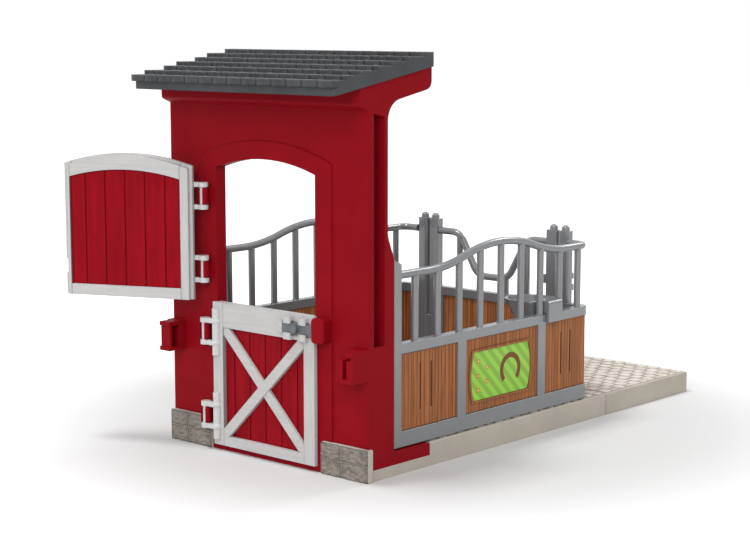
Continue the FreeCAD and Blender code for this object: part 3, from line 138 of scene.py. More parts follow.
def angle(name, degrees, description):
    """An angle property given in degrees."""
    return bpy.props.FloatProperty(name=name, description=description, default=math.radians(degrees),
                                   subtype="ANGLE")


def wattage(name, watts, description):
    """The power of a lamp in watts."""
    return bpy.props.FloatProperty(name=name, description=description, default=watts, min=0, unit="POWER")


def point(name, default, description):
    """A point in metres."""
    return bpy.props.FloatVectorProperty(name=name, description=description, default=default, unit="LENGTH")


def hex_colour(text):
    """Linear colour of an sRGB hex text."""
    part = np.array([int(text[i:i + 2], 16) for i in (1, 3, 5)]) / 255
    linear = np.where(part <= 0.04045, part / 12.92, ((part + 0.055) / 1.055) ** 2.4)
    return (*linear.tolist(), 1.0)


def tint(name, text, description):
    """A colour property given as sRGB hex."""
    return bpy.props.FloatVectorProperty(name=name, description=description, default=hex_colour(text),
                                         size=4, min=0, max=1, subtype="COLOR")


class PaintSettings(bpy.types.PropertyGroup):
    """Colours of the plastics and inks."""
    red: tint("Red", "#8d0c19", "Wall, connectors and catch")
    plank: tint("Planks", "#8f0d1a", "Planks of the doors")
    white: tint("White", "#c1c0bf", "Frames of the doors")
    hinge: tint("Hinges", "#cccccc", "Hinges of the doors")
    slate: tint("Slate", "#3b3d40", "Tiles of the roof")
    stone: tint("Stone", "#bdb5a9", "Plates of the base")
    cobble: tint("Cobbles", "#cfc8bf", "Crowns of the cobbles")
    # Colour of the painted shade that darkens the low parts in the cobbles' joints
    wash: tint("Shading", "#aaa39a", "Thin wash in the joints of the cobbles")
    quarry: tint("Corner stones", "#807971", "Rough faces of the corner stones")
    grey: tint("Grey", "#74777a", "Fences, gate and trough")
    dark: tint("Dark grey", "#60666a", "Bolt of the lower door")
    wood: tint("Wood", "#a4683f", "Panels of the fences and the gate")
    film: tint("Film", "#90c63f", "Ground of the sticker")
    brown: tint("Brown ink", "#7a4a26", "Horseshoe on the sticker")
    cream: tint("Cream ink", "#f1dfae", "Middles of the dots")
    orange: tint("Orange ink", "#d9702c", "Dots on the sticker")
    floor: tint("Floor", "#d2d2d2", "Floor of the studio")


class DoorSettings(bpy.types.PropertyGroup):
    """Where the doors turn and where the stiles of their frames end."""
    hinge: point("Hinge", (-36.6 * MM, -4.0 * MM, 0.0), "Point on the doors' hinge axis")
    open: angle("Open", 156, "Angle at which the upper door stands open")
    upper_first: length("Upper first", 9.6, "Upper door: end of the hinge stile, from the hinge")
    upper_second: length("Upper second", 66.0, "Upper door: start of the other stile, from the hinge")
    lower_first: length("Lower first", 10.8, "Lower door: end of the hinge stile, from the hinge")
    lower_second: length("Lower second", 63.0, "Lower door: start of the other stile, from the hinge")


class CobbleSettings(bpy.types.PropertyGroup):
    """Sizes of the paving on the base."""
    stone_x: length("Stone X", 7.4, "Distance of the cobbles along a row")
    stone_y: length("Stone Y", 6.9, "Distance of the rows")
    joint: length("Joint", 0.6, "Joint between the cobbles")
    height: length("Height", 0.95, "Height of a cobble over the base")
    rim: length("Rim", 0.6, "Bare rim of the base plates")
    front: length("Front", 6.2, "Start of the paving behind the wall's front face")
    foot: length("Foot", 8.5, "Width of the wall's feet")
    seed: bpy.props.IntProperty(name="Seed", description="Variation of the cobbles", default=7)


class QuarrySettings(bpy.types.PropertyGroup):
    """Sizes of the rough faces on the corner stones."""
    inner: length("Inner", 35.6, "Half distance between the two corner stones")
    joint: length("Joint", 0.25, "Joint between the stones")
    proud: length("Proud", 0.55, "How far the rough faces stand out")
    rough: length("Roughness", 0.16, "Depth of the chisel marks")
    upper: share("Upper joint", 0.42, "Joint of the upper course, from the left end")
    lower: share("Lower joint", 0.45, "Joint of the lower course, from the left end")
    seed: bpy.props.IntProperty(name="Seed", description="Variation of the chisel marks", default=3)


class StickerSettings(bpy.types.PropertyGroup):
    """Sizes of the printed motifs on the fence sticker."""
    shoe: length("Shoe", 8.0, "Outer radius of the horseshoe")
    band: length("Band", 2.6, "Width of the horseshoe's band")
    spot: share("Spot", 0.34, "Middle of the horseshoe, from the rear end of the film")
    gap: angle("Gap", 45, "Half opening of the horseshoe")
    dot: length("Dot", 1.1, "Radius of the small dots")
    eye: share("Eye", 0.45, "Middle of a dot, of its radius")
    film: length("Film", 0.02, "Height of the print over the film")


class HingeSettings(bpy.types.PropertyGroup):
    """Sizes of the bands and rivets on the hinge straps of the lower door."""
    strap: length("Strap", 1.95, "Radius of the round straps")
    proud: length("Proud", 0.4, "How far the bands stand out of the straps")
    tall: length("Tall", 2.2, "Height of a band")
    pitch: length("Pitch", 10.4, "Distance between the two bands of a strap")
    rivet: length("Rivet", 0.55, "Radius of a rivet")
    rivet_top: length("Rivet top", 8.9, "Rivet, above the middle of its strap")
    inset: length("Inset", 2.25, "Straps, from the door's hinge edge")
    face: length("Face", 2.9, "Axis of the straps, before the wall's front face")
    low: length("Low", 16.6, "Middle of the lower strap")
    high: length("High", 56.4, "Middle of the upper strap")


class StageSettings(bpy.types.PropertyGroup):
    """Camera and light."""
    place: point("Camera", (0.5609, -0.5496, 0.1996), "Camera position")
    yaw: angle("Yaw", 41.97, "Camera heading")
    tilt: angle("Tilt", 8.335, "Camera tilt below the horizon")
    lens: bpy.props.FloatProperty(name="Lens", description="Focal length in millimetres", default=83.94)
    ambient: share("Ambient", 0.55, "Strength of the surrounding light")
    key: wattage("Key", 9.6, "Soft light from the front")
    top: wattage("Top", 12.0, "Light from above")
    rear: wattage("Rear", 5.0, "Light from behind")
    low: wattage("Low", 0.6, "Low light that draws lines along the bars")
    near: length("Near", 120, "Distance from the middle up to which the floor shows its own colour")
    far: length("Far", 320, "Distance from the middle at which the floor is seen as white")
    glow: share("Glow", 0.75, "What the floor adds to its own light to be seen as white")


class StallSettings(bpy.types.PropertyGroup):
    """All settings of the stall."""
    paint: bpy.props.PointerProperty(type=PaintSettings)
    doors: bpy.props.PointerProperty(type=DoorSettings)
    cobbles: bpy.props.PointerProperty(type=CobbleSettings)
    quarry: bpy.props.PointerProperty(type=QuarrySettings)
    sticker: bpy.props.PointerProperty(type=StickerSettings)
    hinges: bpy.props.PointerProperty(type=HingeSettings)
    stage: bpy.props.PointerProperty(type=StageSettings)


# Surfaces

def grid_faces(rows, columns, copies):
    """Quads of several copies of a rows by columns grid, as an array of vertex numbers."""
    r, c = np.meshgrid(np.arange(rows - 1), np.arange(columns - 1), indexing="ij")
    first = (r * columns + c).ravel()
    quad = np.stack([first, first + 1, first + columns + 1, first + columns], 1)
    return (quad[None] + (np.arange(copies) * rows * columns)[:, None, None]).reshape(-1, 4)


def add_mesh(name, points, faces, material, body):
    """Adds an object made of points and quads at the origin, with seams closed, and lets it ride on a CAD body."""
    mesh = bpy.data.meshes.new(name)
    mesh.vertices.add(len(points))
    mesh.vertices.foreach_set("co", np.asarray(points, np.float32).ravel())
    mesh.loops.add(faces.size)
    mesh.loops.foreach_set("vertex_index", faces.astype(np.int32).ravel())
    mesh.polygons.add(len(faces))
    mesh.polygons.foreach_set("loop_start", np.arange(len(faces), dtype=np.int32) * 4)
    mesh.polygons.foreach_set("use_smooth", np.ones(len(faces), bool))
    mesh.update(calc_edges=True)
    shell = bmesh.new()
    shell.from_mesh(mesh)
    bmesh.ops.remove_doubles(shell, verts=shell.verts, dist=MERGE)
    shell.to_mesh(mesh)
    shell.free()
    mesh.materials.append(material)
    thing = bpy.data.objects.new(name, mesh)
    bpy.context.scene.collection.objects.link(thing)
    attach(thing, body)


def pillow(u, v, power=5.0):
    """Height from 0 at the rim to 1 in the middle: (1 - r^4)^(1/3) with r = (|u|^p + |v|^p)^(1/p)."""
    r = (np.abs(u) ** power + np.abs(v) ** power) ** (1 / power)
    return np.clip(1 - np.clip(r, 0, 1) ** 4, 0, 1) ** (1 / 3)


def unit_grid(count):
    """Two arrays from -1 to 1 over a square grid, closer together at the rim."""
    line = np.sin(np.linspace(-math.pi / 2, math.pi / 2, count))
    return np.meshgrid(line, line, indexing="xy")


def running_bond(x0, x1, y0, y1, settings):
    """Centres and half sizes of the cobbles in an area; every second row is shifted by half a stone."""
    rows = max(1, round((y1 - y0) / settings.stone_y))
    deep = (y1 - y0) / rows
    columns = max(1, round((x1 - x0) / settings.stone_x))
    wide = (x1 - x0) / columns
    cells = []
    for row in range(rows):
        edges = np.linspace(x0, x1, columns + 1)
        if row % 2:
            edges = np.concatenate([[x0], x0 + wide * (np.arange(columns) + 0.5), [x1]])
        y = y0 + deep * (row + 0.5)
        for left, right in zip(edges[:-1], edges[1:]):
            cells.append(((left + right) / 2, y, (right - left) / 2, deep / 2))
    return np.array(cells)


def cobble_points(cells, level, settings):
    """Points of uneven domed stones: x = cx + sx u (1 + a v), y = cy + sy v (1 + b u), and
    z = level + h (1 - r^4)^(1/3) (1 + tilt + waves), with random a, b, h, tilt and waves for each stone."""
    rng = np.random.default_rng(settings.seed)
    u, v = unit_grid(COBBLE_LINES)
    dome = pillow(u, v)

    def spread(limits):
        return rng.uniform(*limits, (len(cells), 1, 1))

    middle_x, middle_y, half_x, half_y = (cells[:, i, None, None] for i in range(4))
    x = middle_x + (half_x - settings.joint / 2) * spread(NARROW) * u * (1 + spread(SKEW) * v)
    y = middle_y + (half_y - settings.joint / 2) * spread(NARROW) * v * (1 + spread(SKEW) * u)
    tilt = spread(TILT) * u + spread(TILT) * v
    wave_u = np.sin(spread(WAVE_PITCH) * u + spread(WAVE_START))
    wave_v = np.sin(spread(WAVE_PITCH) * v + spread(WAVE_START))
    z = level + settings.height * spread(DOMING) * dome * (1 + tilt + WAVE_HEIGHT * wave_u * wave_v)
    return np.stack([x, y, z], -1).reshape(-1, 3), grid_faces(COBBLE_LINES, COBBLE_LINES, len(cells))


def chisel_marks(u, v, rng):
    """A sum of random plane waves sin(p (u cos a + v sin a) + f), about -1 to 1."""
    heading = rng.uniform(0, math.pi, MARKS)
    pitch = rng.uniform(*MARK_PITCH, MARKS)
    phase = rng.uniform(0, 2 * math.pi, MARKS)
    field = np.zeros_like(u)
    for a, p, f in zip(heading, pitch, phase):
        field += np.sin(p * (u * math.cos(a) + v * math.sin(a)) + f)
    return field / math.sqrt(MARKS)


def stone_face(x0, x1, z0, z1, y, settings, rng):
    """Points of one rough stone that bulges to the front: y - (proud + rough marks) dome."""
    u, v = unit_grid(STONE_LINES)
    dome = pillow(u, v, 7)
    out = settings.proud * dome + settings.rough * chisel_marks(u, v, rng) * dome
    x = (x0 + x1) / 2 + (x1 - x0 - settings.joint) / 2 * u
    z = (z0 + z1) / 2 + (z1 - z0 - settings.joint) / 2 * v
    return np.stack([x, y - np.maximum(out, 0), z], -1).reshape(-1, 3)


def dome_points(places, across, along, out, radius, height, rings=5, sides=16):
    """Points of small domes r = R sin t, h = H cos t about places, with the directions across, along and out."""
    t, a = np.meshgrid(np.linspace(0, math.pi / 2, rings), np.linspace(0, 2 * math.pi, sides), indexing="ij")
    flat = radius * np.sin(t)
    local = (flat * np.cos(a))[..., None] * across + (flat * np.sin(a))[..., None] * along
    local = local + (height * np.cos(t))[..., None] * out
    return (places[:, None, None, :] + local[None]).reshape(-1, 3), grid_faces(rings, sides, len(places))[:, ::-1]


def strap_bands(places, radius, proud, tall, rows=7, sides=17):
    """Half rings round upright straps, on their front half: r = R + p (1 - s^4)^(1/4) at the height h s / 2."""
    upright = np.sin(np.linspace(-math.pi / 2, math.pi / 2, rows))
    s, a = np.meshgrid(upright, np.linspace(0, math.pi, sides), indexing="ij")
    r = radius + proud * np.clip(1 - s ** 4, 0, 1) ** 0.25
    local = np.stack([r * np.cos(a), -r * np.sin(a), tall / 2 * s], -1)
    return (places[:, None, None, :] + local[None]).reshape(-1, 3), grid_faces(rows, sides, len(places))[:, ::-1]


def band_points(x, y, z, r0, r1, a0, a1, sides):
    """Points of a flat ring sector in the plane of the fence: y + r cos a, z + r sin a."""
    r, a = np.meshgrid([r0, r1], np.linspace(a0, a1, sides), indexing="ij")
    return np.stack([np.full_like(r, x), y + r * np.cos(a), z + r * np.sin(a)], -1).reshape(-1, 3)


# Finishes

def shade(colour, factor):
    """A colour made darker or lighter by a factor, in linear light."""
    return (*[min(1.0, part * factor) for part in colour[:3]], 1.0)


def per(size_mm):
    """Scale of a pattern with cells of a size in millimetres."""
    return 1 / (size_mm * MM)


def put(tree, kind, links=None, inputs=None, stops=None, **settings):
    """Adds a node with its settings, constant inputs, links and colour stops, and returns its outputs."""
    node = tree.nodes.new(kind)
    for name, value in settings.items():
        setattr(node, name, value)
    for name, value in (inputs or {}).items():
        node.inputs[name].default_value = value
    for name, output in (links or {}).items():
        tree.links.new(output, node.inputs[name])
    for number, (position, colour) in enumerate(stops or []):
        band = node.color_ramp.elements
        element = band[number] if number < 2 else band.new(position)
        element.position = position
        element.color = colour
    return node.outputs


def new_material(name, roughness, gloss, coat=0.0):
    """A material with a principled shader and no colour yet."""
    material = bpy.data.materials.new(name)
    material.use_nodes = True
    tree = material.node_tree
    shader = tree.nodes["Principled BSDF"]
    shader.inputs["Roughness"].default_value = roughness
    shader.inputs["Specular IOR Level"].default_value = gloss
    shader.inputs["Coat Weight"].default_value = coat
    return material, tree, shader


def door_place(tree, hinge, turn):
    """Object coordinates counted from a door's hinge axis along its leaf: R(-turn) (p - hinge)."""
    spot = put(tree, "ShaderNodeTexCoord")["Object"]
    moved = put(tree, "ShaderNodeVectorMath", {0: spot}, {1: hinge}, operation="SUBTRACT")[0]
    return put(tree, "ShaderNodeVectorRotate", {"Vector": moved}, {"Angle": -turn}, rotation_type="Z_AXIS")[0]


def grain_field(tree, place, across, along, axis, detail=6.0):
    """Wood grain: noise with cells of across millimetres, drawn out to along millimetres on one axis."""
    scale = [per(across)] * 3
    scale[axis] = per(along)
    drawn = put(tree, "ShaderNodeVectorMath", {0: place}, {1: scale}, operation="MULTIPLY")[0]
    return put(tree, "ShaderNodeTexNoise", {"Vector": drawn}, {"Scale": 1.0, "Detail": detail})[0]


def thin_line(tree, distance, inner, outer):
    """0 on a line and 1 beside it, from the signed distance to it and two half widths in millimetres."""
    away = put(tree, "ShaderNodeMath", {0: distance}, operation="ABSOLUTE")[0]
    return put(tree, "ShaderNodeMapRange", {"Value": away}, {"From Min": inner * MM, "From Max": outer * MM})[0]


def shadow_line(tree, colour, tone, reach):
    """Painted shade: a tone that turns to a dark colour in corners, within a reach in millimetres, found by ambient
    occlusion.
    """
    corner = put(tree, "ShaderNodeAmbientOcclusion", inputs={"Distance": reach * MM}, samples=8)["AO"]
    clear = put(tree, "ShaderNodeMapRange", {"Value": corner}, {"From Min": 0.5, "From Max": 0.85})[0]
    return put(tree, "ShaderNodeMix", {0: clear, 7: tone}, {6: colour}, data_type="RGBA")[2]


def relief(tree, shader, edge, height, depth, strength):
    """Softens sharp edges by a radius and adds relief of a depth, both in millimetres."""
    round_normal = put(tree, "ShaderNodeBevel", inputs={"Radius": edge * MM}, samples=4)[0]
    normal = put(tree, "ShaderNodeBump", {"Height": height, "Normal": round_normal},
                 {"Distance": depth * MM, "Strength": strength})[0]
    tree.links.new(normal, shader.inputs["Normal"])


def moulded(name, colour, roughness, gloss, vary=0.06, grit=1.1, depth=0.03, edge=0.5, shadow=0.0):
    """Moulded plastic: a faint mottle 16 mm wide, the grit of the mould and, if asked for, painted shade that darkens
    the corners.

    The grit is really about 0.1 mm wide and is drawn about ten times coarser so that it shows."""
    material, tree, shader = new_material(name, roughness, gloss)
    place = put(tree, "ShaderNodeTexCoord")["Object"]
    mottle = put(tree, "ShaderNodeTexNoise", {"Vector": place}, {"Scale": per(16), "Detail": 3.0})[0]
    tone = put(tree, "ShaderNodeValToRGB", {"Fac": mottle},
               stops=[(0.3, shade(colour, 1 - vary)), (0.7, shade(colour, 1 + vary))])[0]
    # Painted shade: the tone turns dark in the corners
    if shadow:
        tone = shadow_line(tree, shade(colour, 0.3), tone, shadow)
    tree.links.new(tone, shader.inputs["Base Color"])
    grain = put(tree, "ShaderNodeTexNoise", {"Vector": place}, {"Scale": per(grit), "Detail": 3.0})[0]
    relief(tree, shader, edge, grain, depth, 0.5)
    return material


def planked(name, colour):
    """Moulded plastic planks with an upright wood grain, 3 mm wide and 25 mm long, and painted shade in the grooves
    and corners.
    """
    material, tree, shader = new_material(name, 0.5, 0.05)
    grain = grain_field(tree, put(tree, "ShaderNodeTexCoord")["Object"], 2.9, 25, 2)
    tone = put(tree, "ShaderNodeValToRGB", {"Fac": grain},
               stops=[(0.35, shade(colour, 0.88)), (0.65, shade(colour, 1.12))])[0]
    # Painted shade: the tone turns darker in the grooves and corners
    tree.links.new(shadow_line(tree, shade(colour, 0.7), tone, 0.8), shader.inputs["Base Color"])
    relief(tree, shader, 0.5, grain, 0.2, 0.6)
    return material


def framed(name, colour, joint, hinge, turn, first, second):
    """White door frame: upright grain on the stiles, level grain on the rails, a fine dark joint at each stile."""
    material, tree, shader = new_material(name, 0.4, 0.25)
    place = door_place(tree, hinge, turn)
    along = put(tree, "ShaderNodeSeparateXYZ", {"Vector": place})["X"]
    middle = put(tree, "ShaderNodeMath", {0: along}, {1: (first + second) / 2}, operation="SUBTRACT")[0]
    beside = put(tree, "ShaderNodeMath", {0: middle}, operation="ABSOLUTE")[0]
    reach = put(tree, "ShaderNodeMath", {0: beside}, {1: (second - first) / 2}, operation="SUBTRACT")[0]
    stile = put(tree, "ShaderNodeMath", {0: reach}, {1: 0.0}, operation="GREATER_THAN")[0]
    level = grain_field(tree, place, 1.1, 22, 0, 5.0)
    upright = grain_field(tree, place, 1.1, 22, 2, 5.0)
    grain = put(tree, "ShaderNodeMix", {"Factor": stile, "A": level, "B": upright}, data_type="FLOAT")["Result"]
    tone = put(tree, "ShaderNodeValToRGB", {"Fac": grain},
               stops=[(0.35, shade(colour, 0.95)), (0.65, shade(colour, 1.06))])[0]
    line = thin_line(tree, reach, 0.08, 0.2)
    blend = put(tree, "ShaderNodeMix", {0: line, 7: tone}, {6: shade(colour, joint)}, data_type="RGBA")[2]
    tree.links.new(blend, shader.inputs["Base Color"])
    height = put(tree, "ShaderNodeMath", {0: line, 1: grain}, operation="ADD")[0]
    relief(tree, shader, 0.5, height, 0.12, 0.6)
    return material


def wooden(name, colour):
    """Printed wood look: upright boards 2.4 mm wide with dark grooves, and a grain 1 mm wide and 22 mm long; painted
    shade darkens the corners.
    """
    material, tree, shader = new_material(name, 0.55, 0.15)
    place = put(tree, "ShaderNodeTexCoord")["Object"]
    axes = put(tree, "ShaderNodeSeparateXYZ", {"Vector": place})
    across = put(tree, "ShaderNodeMath", {0: axes["X"], 1: axes["Y"]}, operation="ADD")[0]
    boards = put(tree, "ShaderNodeTexVoronoi", {"W": across}, {"Scale": per(2.4)}, voronoi_dimensions="1D",
                 feature="DISTANCE_TO_EDGE")["Distance"]
    groove = put(tree, "ShaderNodeMapRange", {"Value": boards}, {"From Min": 0.0, "From Max": 0.14})[0]
    chance = put(tree, "ShaderNodeTexVoronoi", {"W": across}, {"Scale": per(2.4)},
                 voronoi_dimensions="1D")["Color"]
    grain = grain_field(tree, place, 1.1, 22, 2)
    board = put(tree, "ShaderNodeMath", {0: chance, 2: grain}, {1: 0.24}, operation="MULTIPLY_ADD")[0]
    tone = put(tree, "ShaderNodeValToRGB", {"Fac": board},
               stops=[(0.35, shade(colour, 0.62)), (0.62, shade(colour, 1)), (0.88, shade(colour, 1.36))])[0]
    blend = put(tree, "ShaderNodeMix", {0: groove, 7: tone}, {6: shade(colour, 0.32)}, data_type="RGBA")[2]
    # Painted shade: the tone turns dark in the corners and slots
    tree.links.new(shadow_line(tree, shade(colour, 0.38), blend, 1.0), shader.inputs["Base Color"])
    height = put(tree, "ShaderNodeMath", {0: groove, 1: grain}, operation="ADD")[0]
    relief(tree, shader, 0.4, height, 0.25, 0.7)
    return material


def seamed(name, colour, seam):
    """Matt stone plastic with a fine dark line where the two base plates meet."""
    material, tree, shader = new_material(name, 0.7, 0.15)
    place = put(tree, "ShaderNodeTexCoord")["Object"]
    along = put(tree, "ShaderNodeSeparateXYZ", {"Vector": place})["Y"]
    beside = put(tree, "ShaderNodeMath", {0: along}, {1: seam}, operation="SUBTRACT")[0]
    line = thin_line(tree, beside, 0.1, 0.3)
    mottle = put(tree, "ShaderNodeTexNoise", {"Vector": place}, {"Scale": per(16), "Detail": 3.0})[0]
    tone = put(tree, "ShaderNodeValToRGB", {"Fac": mottle},
               stops=[(0.3, shade(colour, 0.94)), (0.7, shade(colour, 1.06))])[0]
    blend = put(tree, "ShaderNodeMix", {0: line, 7: tone}, {6: shade(colour, 0.38)}, data_type="RGBA")[2]
    tree.links.new(blend, shader.inputs["Base Color"])
    grit = put(tree, "ShaderNodeTexNoise", {"Vector": place}, {"Scale": per(1.4), "Detail": 3.0})[0]
    relief(tree, shader, 0.6, grit, 0.05, 0.5)
    return material


def joint_shaded(name, colour, wash, level):
    """Matt stone plastic, darker low in the joints by painted shade and pale on the crowns, varied from cobble to
    cobble.
    """
    material, tree, shader = new_material(name, 0.7, 0.25)
    place = put(tree, "ShaderNodeTexCoord")["Object"]
    height = put(tree, "ShaderNodeSeparateXYZ", {"Vector": place})["Z"]
    rise = put(tree, "ShaderNodeMapRange", {"Value": height}, {"From Min": level, "From Max": level + 0.85 * MM})[0]
    patch = put(tree, "ShaderNodeTexNoise", {"Vector": place}, {"Scale": per(5.9), "Detail": 2.0})[0]
    crown = put(tree, "ShaderNodeValToRGB", {"Fac": patch},
                stops=[(0.35, shade(colour, 0.88)), (0.65, shade(colour, 1.12))])[0]
    # Painted shade: the colour darkens towards the bottom of the cobbles, in the joints
    low_shade = put(tree, "ShaderNodeValToRGB", {"Fac": rise}, stops=[(0.1, wash), (0.5, WHITE)])[0]
    blend = put(tree, "ShaderNodeMix", {6: crown, 7: low_shade}, {0: 1.0}, data_type="RGBA", blend_type="MULTIPLY")[2]
    tree.links.new(blend, shader.inputs["Base Color"])
    grit = put(tree, "ShaderNodeTexNoise", {"Vector": place}, {"Scale": per(1.4), "Detail": 3.0})[0]
    relief(tree, shader, 0.3, grit, 0.3, 0.7)
    return material


def chiselled(name, colour, face):
    """Rough stone with chisel marks 1.5 mm wide: painted shade darkens the joints and hollows near the base's face,
    and painted light makes it paler 0.6 mm before it.
    """
    material, tree, shader = new_material(name, 0.6, 0.3)
    place = put(tree, "ShaderNodeTexCoord")["Object"]
    depth = put(tree, "ShaderNodeSeparateXYZ", {"Vector": place})["Y"]
    # Painted shade and light: darker where the surface lies back at the base's face, paler where it stands out
    rise = put(tree, "ShaderNodeMapRange", {"Value": depth},
               {"From Min": face, "From Max": face - 0.6 * MM, "To Min": 0.0, "To Max": 0.7})[0]
    marks = put(tree, "ShaderNodeTexNoise", {"Vector": place}, {"Scale": per(1.5), "Detail": 5.0})[0]
    height = put(tree, "ShaderNodeMath", {0: marks, 2: rise}, {1: 0.45}, operation="MULTIPLY_ADD")[0]
    tone = put(tree, "ShaderNodeValToRGB", {"Fac": height},
               stops=[(0.2, shade(colour, 0.5)), (0.62, shade(colour, 0.88)), (1.0, shade(colour, 1.4))])[0]
    tree.links.new(tone, shader.inputs["Base Color"])
    relief(tree, shader, 0.3, marks, 1.3, 1.0)
    return material


def striped(name, colour):
    """Glossy printed film with slanting stripes in two greens, 3.4 mm apart."""
    material, tree, shader = new_material(name, 0.3, 0.15, 0.3)
    place = put(tree, "ShaderNodeTexCoord")["Object"]
    axes = put(tree, "ShaderNodeSeparateXYZ", {"Vector": place})
    slant = put(tree, "ShaderNodeMath", {0: axes["Y"], 1: axes["Z"]}, operation="ADD")[0]
    wave = put(tree, "ShaderNodeMath", {0: slant}, {1: 3.4 * MM}, operation="PINGPONG")[0]
    stripe = put(tree, "ShaderNodeMapRange", {"Value": wave}, {"From Min": 1.5 * MM, "From Max": 1.9 * MM})[0]
    blend = put(tree, "ShaderNodeMix", {0: stripe}, {6: shade(colour, 1.16), 7: shade(colour, 0.86)},
                data_type="RGBA")[2]
    tree.links.new(blend, shader.inputs["Base Color"])
    return material


def printed(name, colour):
    """Flat printed ink on the sticker."""
    material, tree, shader = new_material(name, 0.35, 0.15)
    shader.inputs["Base Color"].default_value = colour
    return material


def make_finishes(paint, doors):
    """All finishes by name, from the colours and the doors' sizes."""
    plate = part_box("base_front")
    return {
        # ABS from a textured mould: an even deep red with almost no shine
        "red_plastic": moulded("Moulded ABS, satin red", paint.red, roughness=0.5, gloss=0.05),
        # The same ABS from an engraved mould: grain that shows as streaks along the planks, and painted shade in the
        # grooves and corners
        "red_planks": planked("Moulded ABS, grained red", paint.plank),
        # Polypropylene from a smooth mould: clean white with a soft shine
        "white_plastic": moulded("Moulded polypropylene, satin white", paint.hinge, roughness=0.35, gloss=0.4,
                                 vary=0.04),
        # ABS from an engraved mould: white boards with fine grain and dark joints
        "white_upper": framed("Moulded ABS, grained white, upper door", paint.white, joint=0.31, hinge=doors.hinge,
                              turn=-doors.open, first=doors.upper_first, second=doors.upper_second),
        "white_lower": framed("Moulded ABS, grained white, lower door", paint.white, joint=0.53, hinge=doors.hinge,
                              turn=0.0, first=doors.lower_first, second=doors.lower_second),
        # ABS from a blasted mould: dark, with worn looking tile edges that catch the light, and painted shade in the
        # gaps under and between the tiles
        "slate_plastic": moulded("Moulded ABS, slate grey", paint.slate, roughness=0.46, gloss=0.32, vary=0.22,
                                 grit=2.0, depth=0.15, edge=1.1, shadow=1.2),
        # ABS from a blasted mould: dull beige with a dark seam
        "stone_plastic": seamed("Moulded ABS, matt stone", paint.stone, seam=plate[1].y),
        # The same ABS with painted shade that darkens it low in the joints: dark joints, pale crowns
        "cobble_plastic": joint_shaded("Washed ABS, paving stone", paint.cobble, paint.wash,
                                 level=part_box("base_rear")[1].z),
        # The same ABS from a rough mould: broken ridges and hollows, with painted shade in the joints and hollows and
        # painted light on the faces that stand out
        "quarry_plastic": chiselled("Washed ABS, chiselled stone", paint.quarry, face=plate[0].y),
        # Polypropylene with a fine grit: mid grey, with a line of light along every bar
        "grey_plastic": moulded("Moulded polypropylene, satin grey", paint.grey, roughness=0.22, gloss=1.0,
                                vary=0.04, grit=0.9, depth=0.05),
        # The same in a darker grey
        "dark_plastic": moulded("Moulded polypropylene, dark grey", paint.dark, roughness=0.3, gloss=0.4,
                                vary=0.05),
        # ABS with a printed wood pattern: brown boards, dark grooves, little shine, and painted shade in the corners
        "brown_wood": wooden("Printed ABS, brown wood", paint.wood),
        # Printed and laminated paper film: clear colours under a gloss
        "sticker_film": striped("Laminated film, green", paint.film),
        # Flat inks on that film
        "ink_brown": printed("Printed ink, brown", paint.brown),
        "ink_cream": printed("Printed ink, cream", paint.cream),
        "ink_orange": printed("Printed ink, orange", paint.orange),
    }


finishes = {}


def finish_of(name):
    """A finish by its short name; all are made at the first call."""
    if not finishes:
        stall = bpy.context.scene.stall
        finishes.update(make_finishes(stall.paint, stall.doors))
    return finishes[name]


# Operators

class STALL_OT_finishes(bpy.types.Operator):
    """Gives every CAD piece its finish"""
    bl_idname = "stall.finishes"
    bl_label = "Finishes"

    def execute(self, context):
        for finish, names in FINISHES.items():
            for name in names:
                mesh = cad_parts[name].data
                mesh.materials.clear()
                mesh.materials.append(finish_of(finish))
        return {"FINISHED"}


class STALL_OT_cobbles(bpy.types.Operator):
    """Paves both base plates with domed cobbles in running bond"""
    bl_idname = "stall.cobbles"
    bl_label = "Cobbles"

    def execute(self, context):
        settings = context.scene.stall.cobbles
        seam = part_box("base_front")[1].y
        back_lo, back_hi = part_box("base_rear")
        level = back_hi.z - SINK
        rim = settings.rim
        side = back_hi.x - rim
        inner = back_hi.x - settings.foot
        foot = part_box("front_wall")[1].y + rim / 2
        areas = {
            "paving_front": [(-inner, inner, settings.front, foot), (-side, side, foot, seam - rim)],
            "paving_rear": [(-side, side, back_lo.y + rim, back_hi.y - rim)],
        }
        for name, parts in areas.items():
            cells = np.concatenate([running_bond(*part, settings) for part in parts])
            points, faces = cobble_points(cells, level, settings)
            add_mesh(name, points, faces, finish_of("cobble_plastic"), "stall")
        return {"FINISHED"}


class STALL_OT_corner_stones(bpy.types.Operator):
    """Covers the corner stones with two courses of rough blocks"""
    bl_idname = "stall.corner_stones"
    bl_label = "Corner stones"

    def execute(self, context):
        settings = context.scene.stall.quarry
        rng = np.random.default_rng(settings.seed)
        lo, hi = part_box("base_front")
        middle = hi.z / 2
        blocks = []
        for side in (-1, 1):
            x0, x1 = sorted((side * settings.inner, side * hi.x))
            for part, z0, z1 in ((settings.upper, middle, hi.z), (settings.lower, 0.0, middle)):
                joint = x0 + (x1 - x0) * part
                blocks += [(x0, joint, z0, z1), (joint, x1, z0, z1)]
        points = np.concatenate([stone_face(*block, lo.y, settings, rng) for block in blocks])
        faces = grid_faces(STONE_LINES, STONE_LINES, len(blocks))
        add_mesh("corner_stone_faces", points, faces, finish_of("quarry_plastic"), "stall")
        return {"FINISHED"}


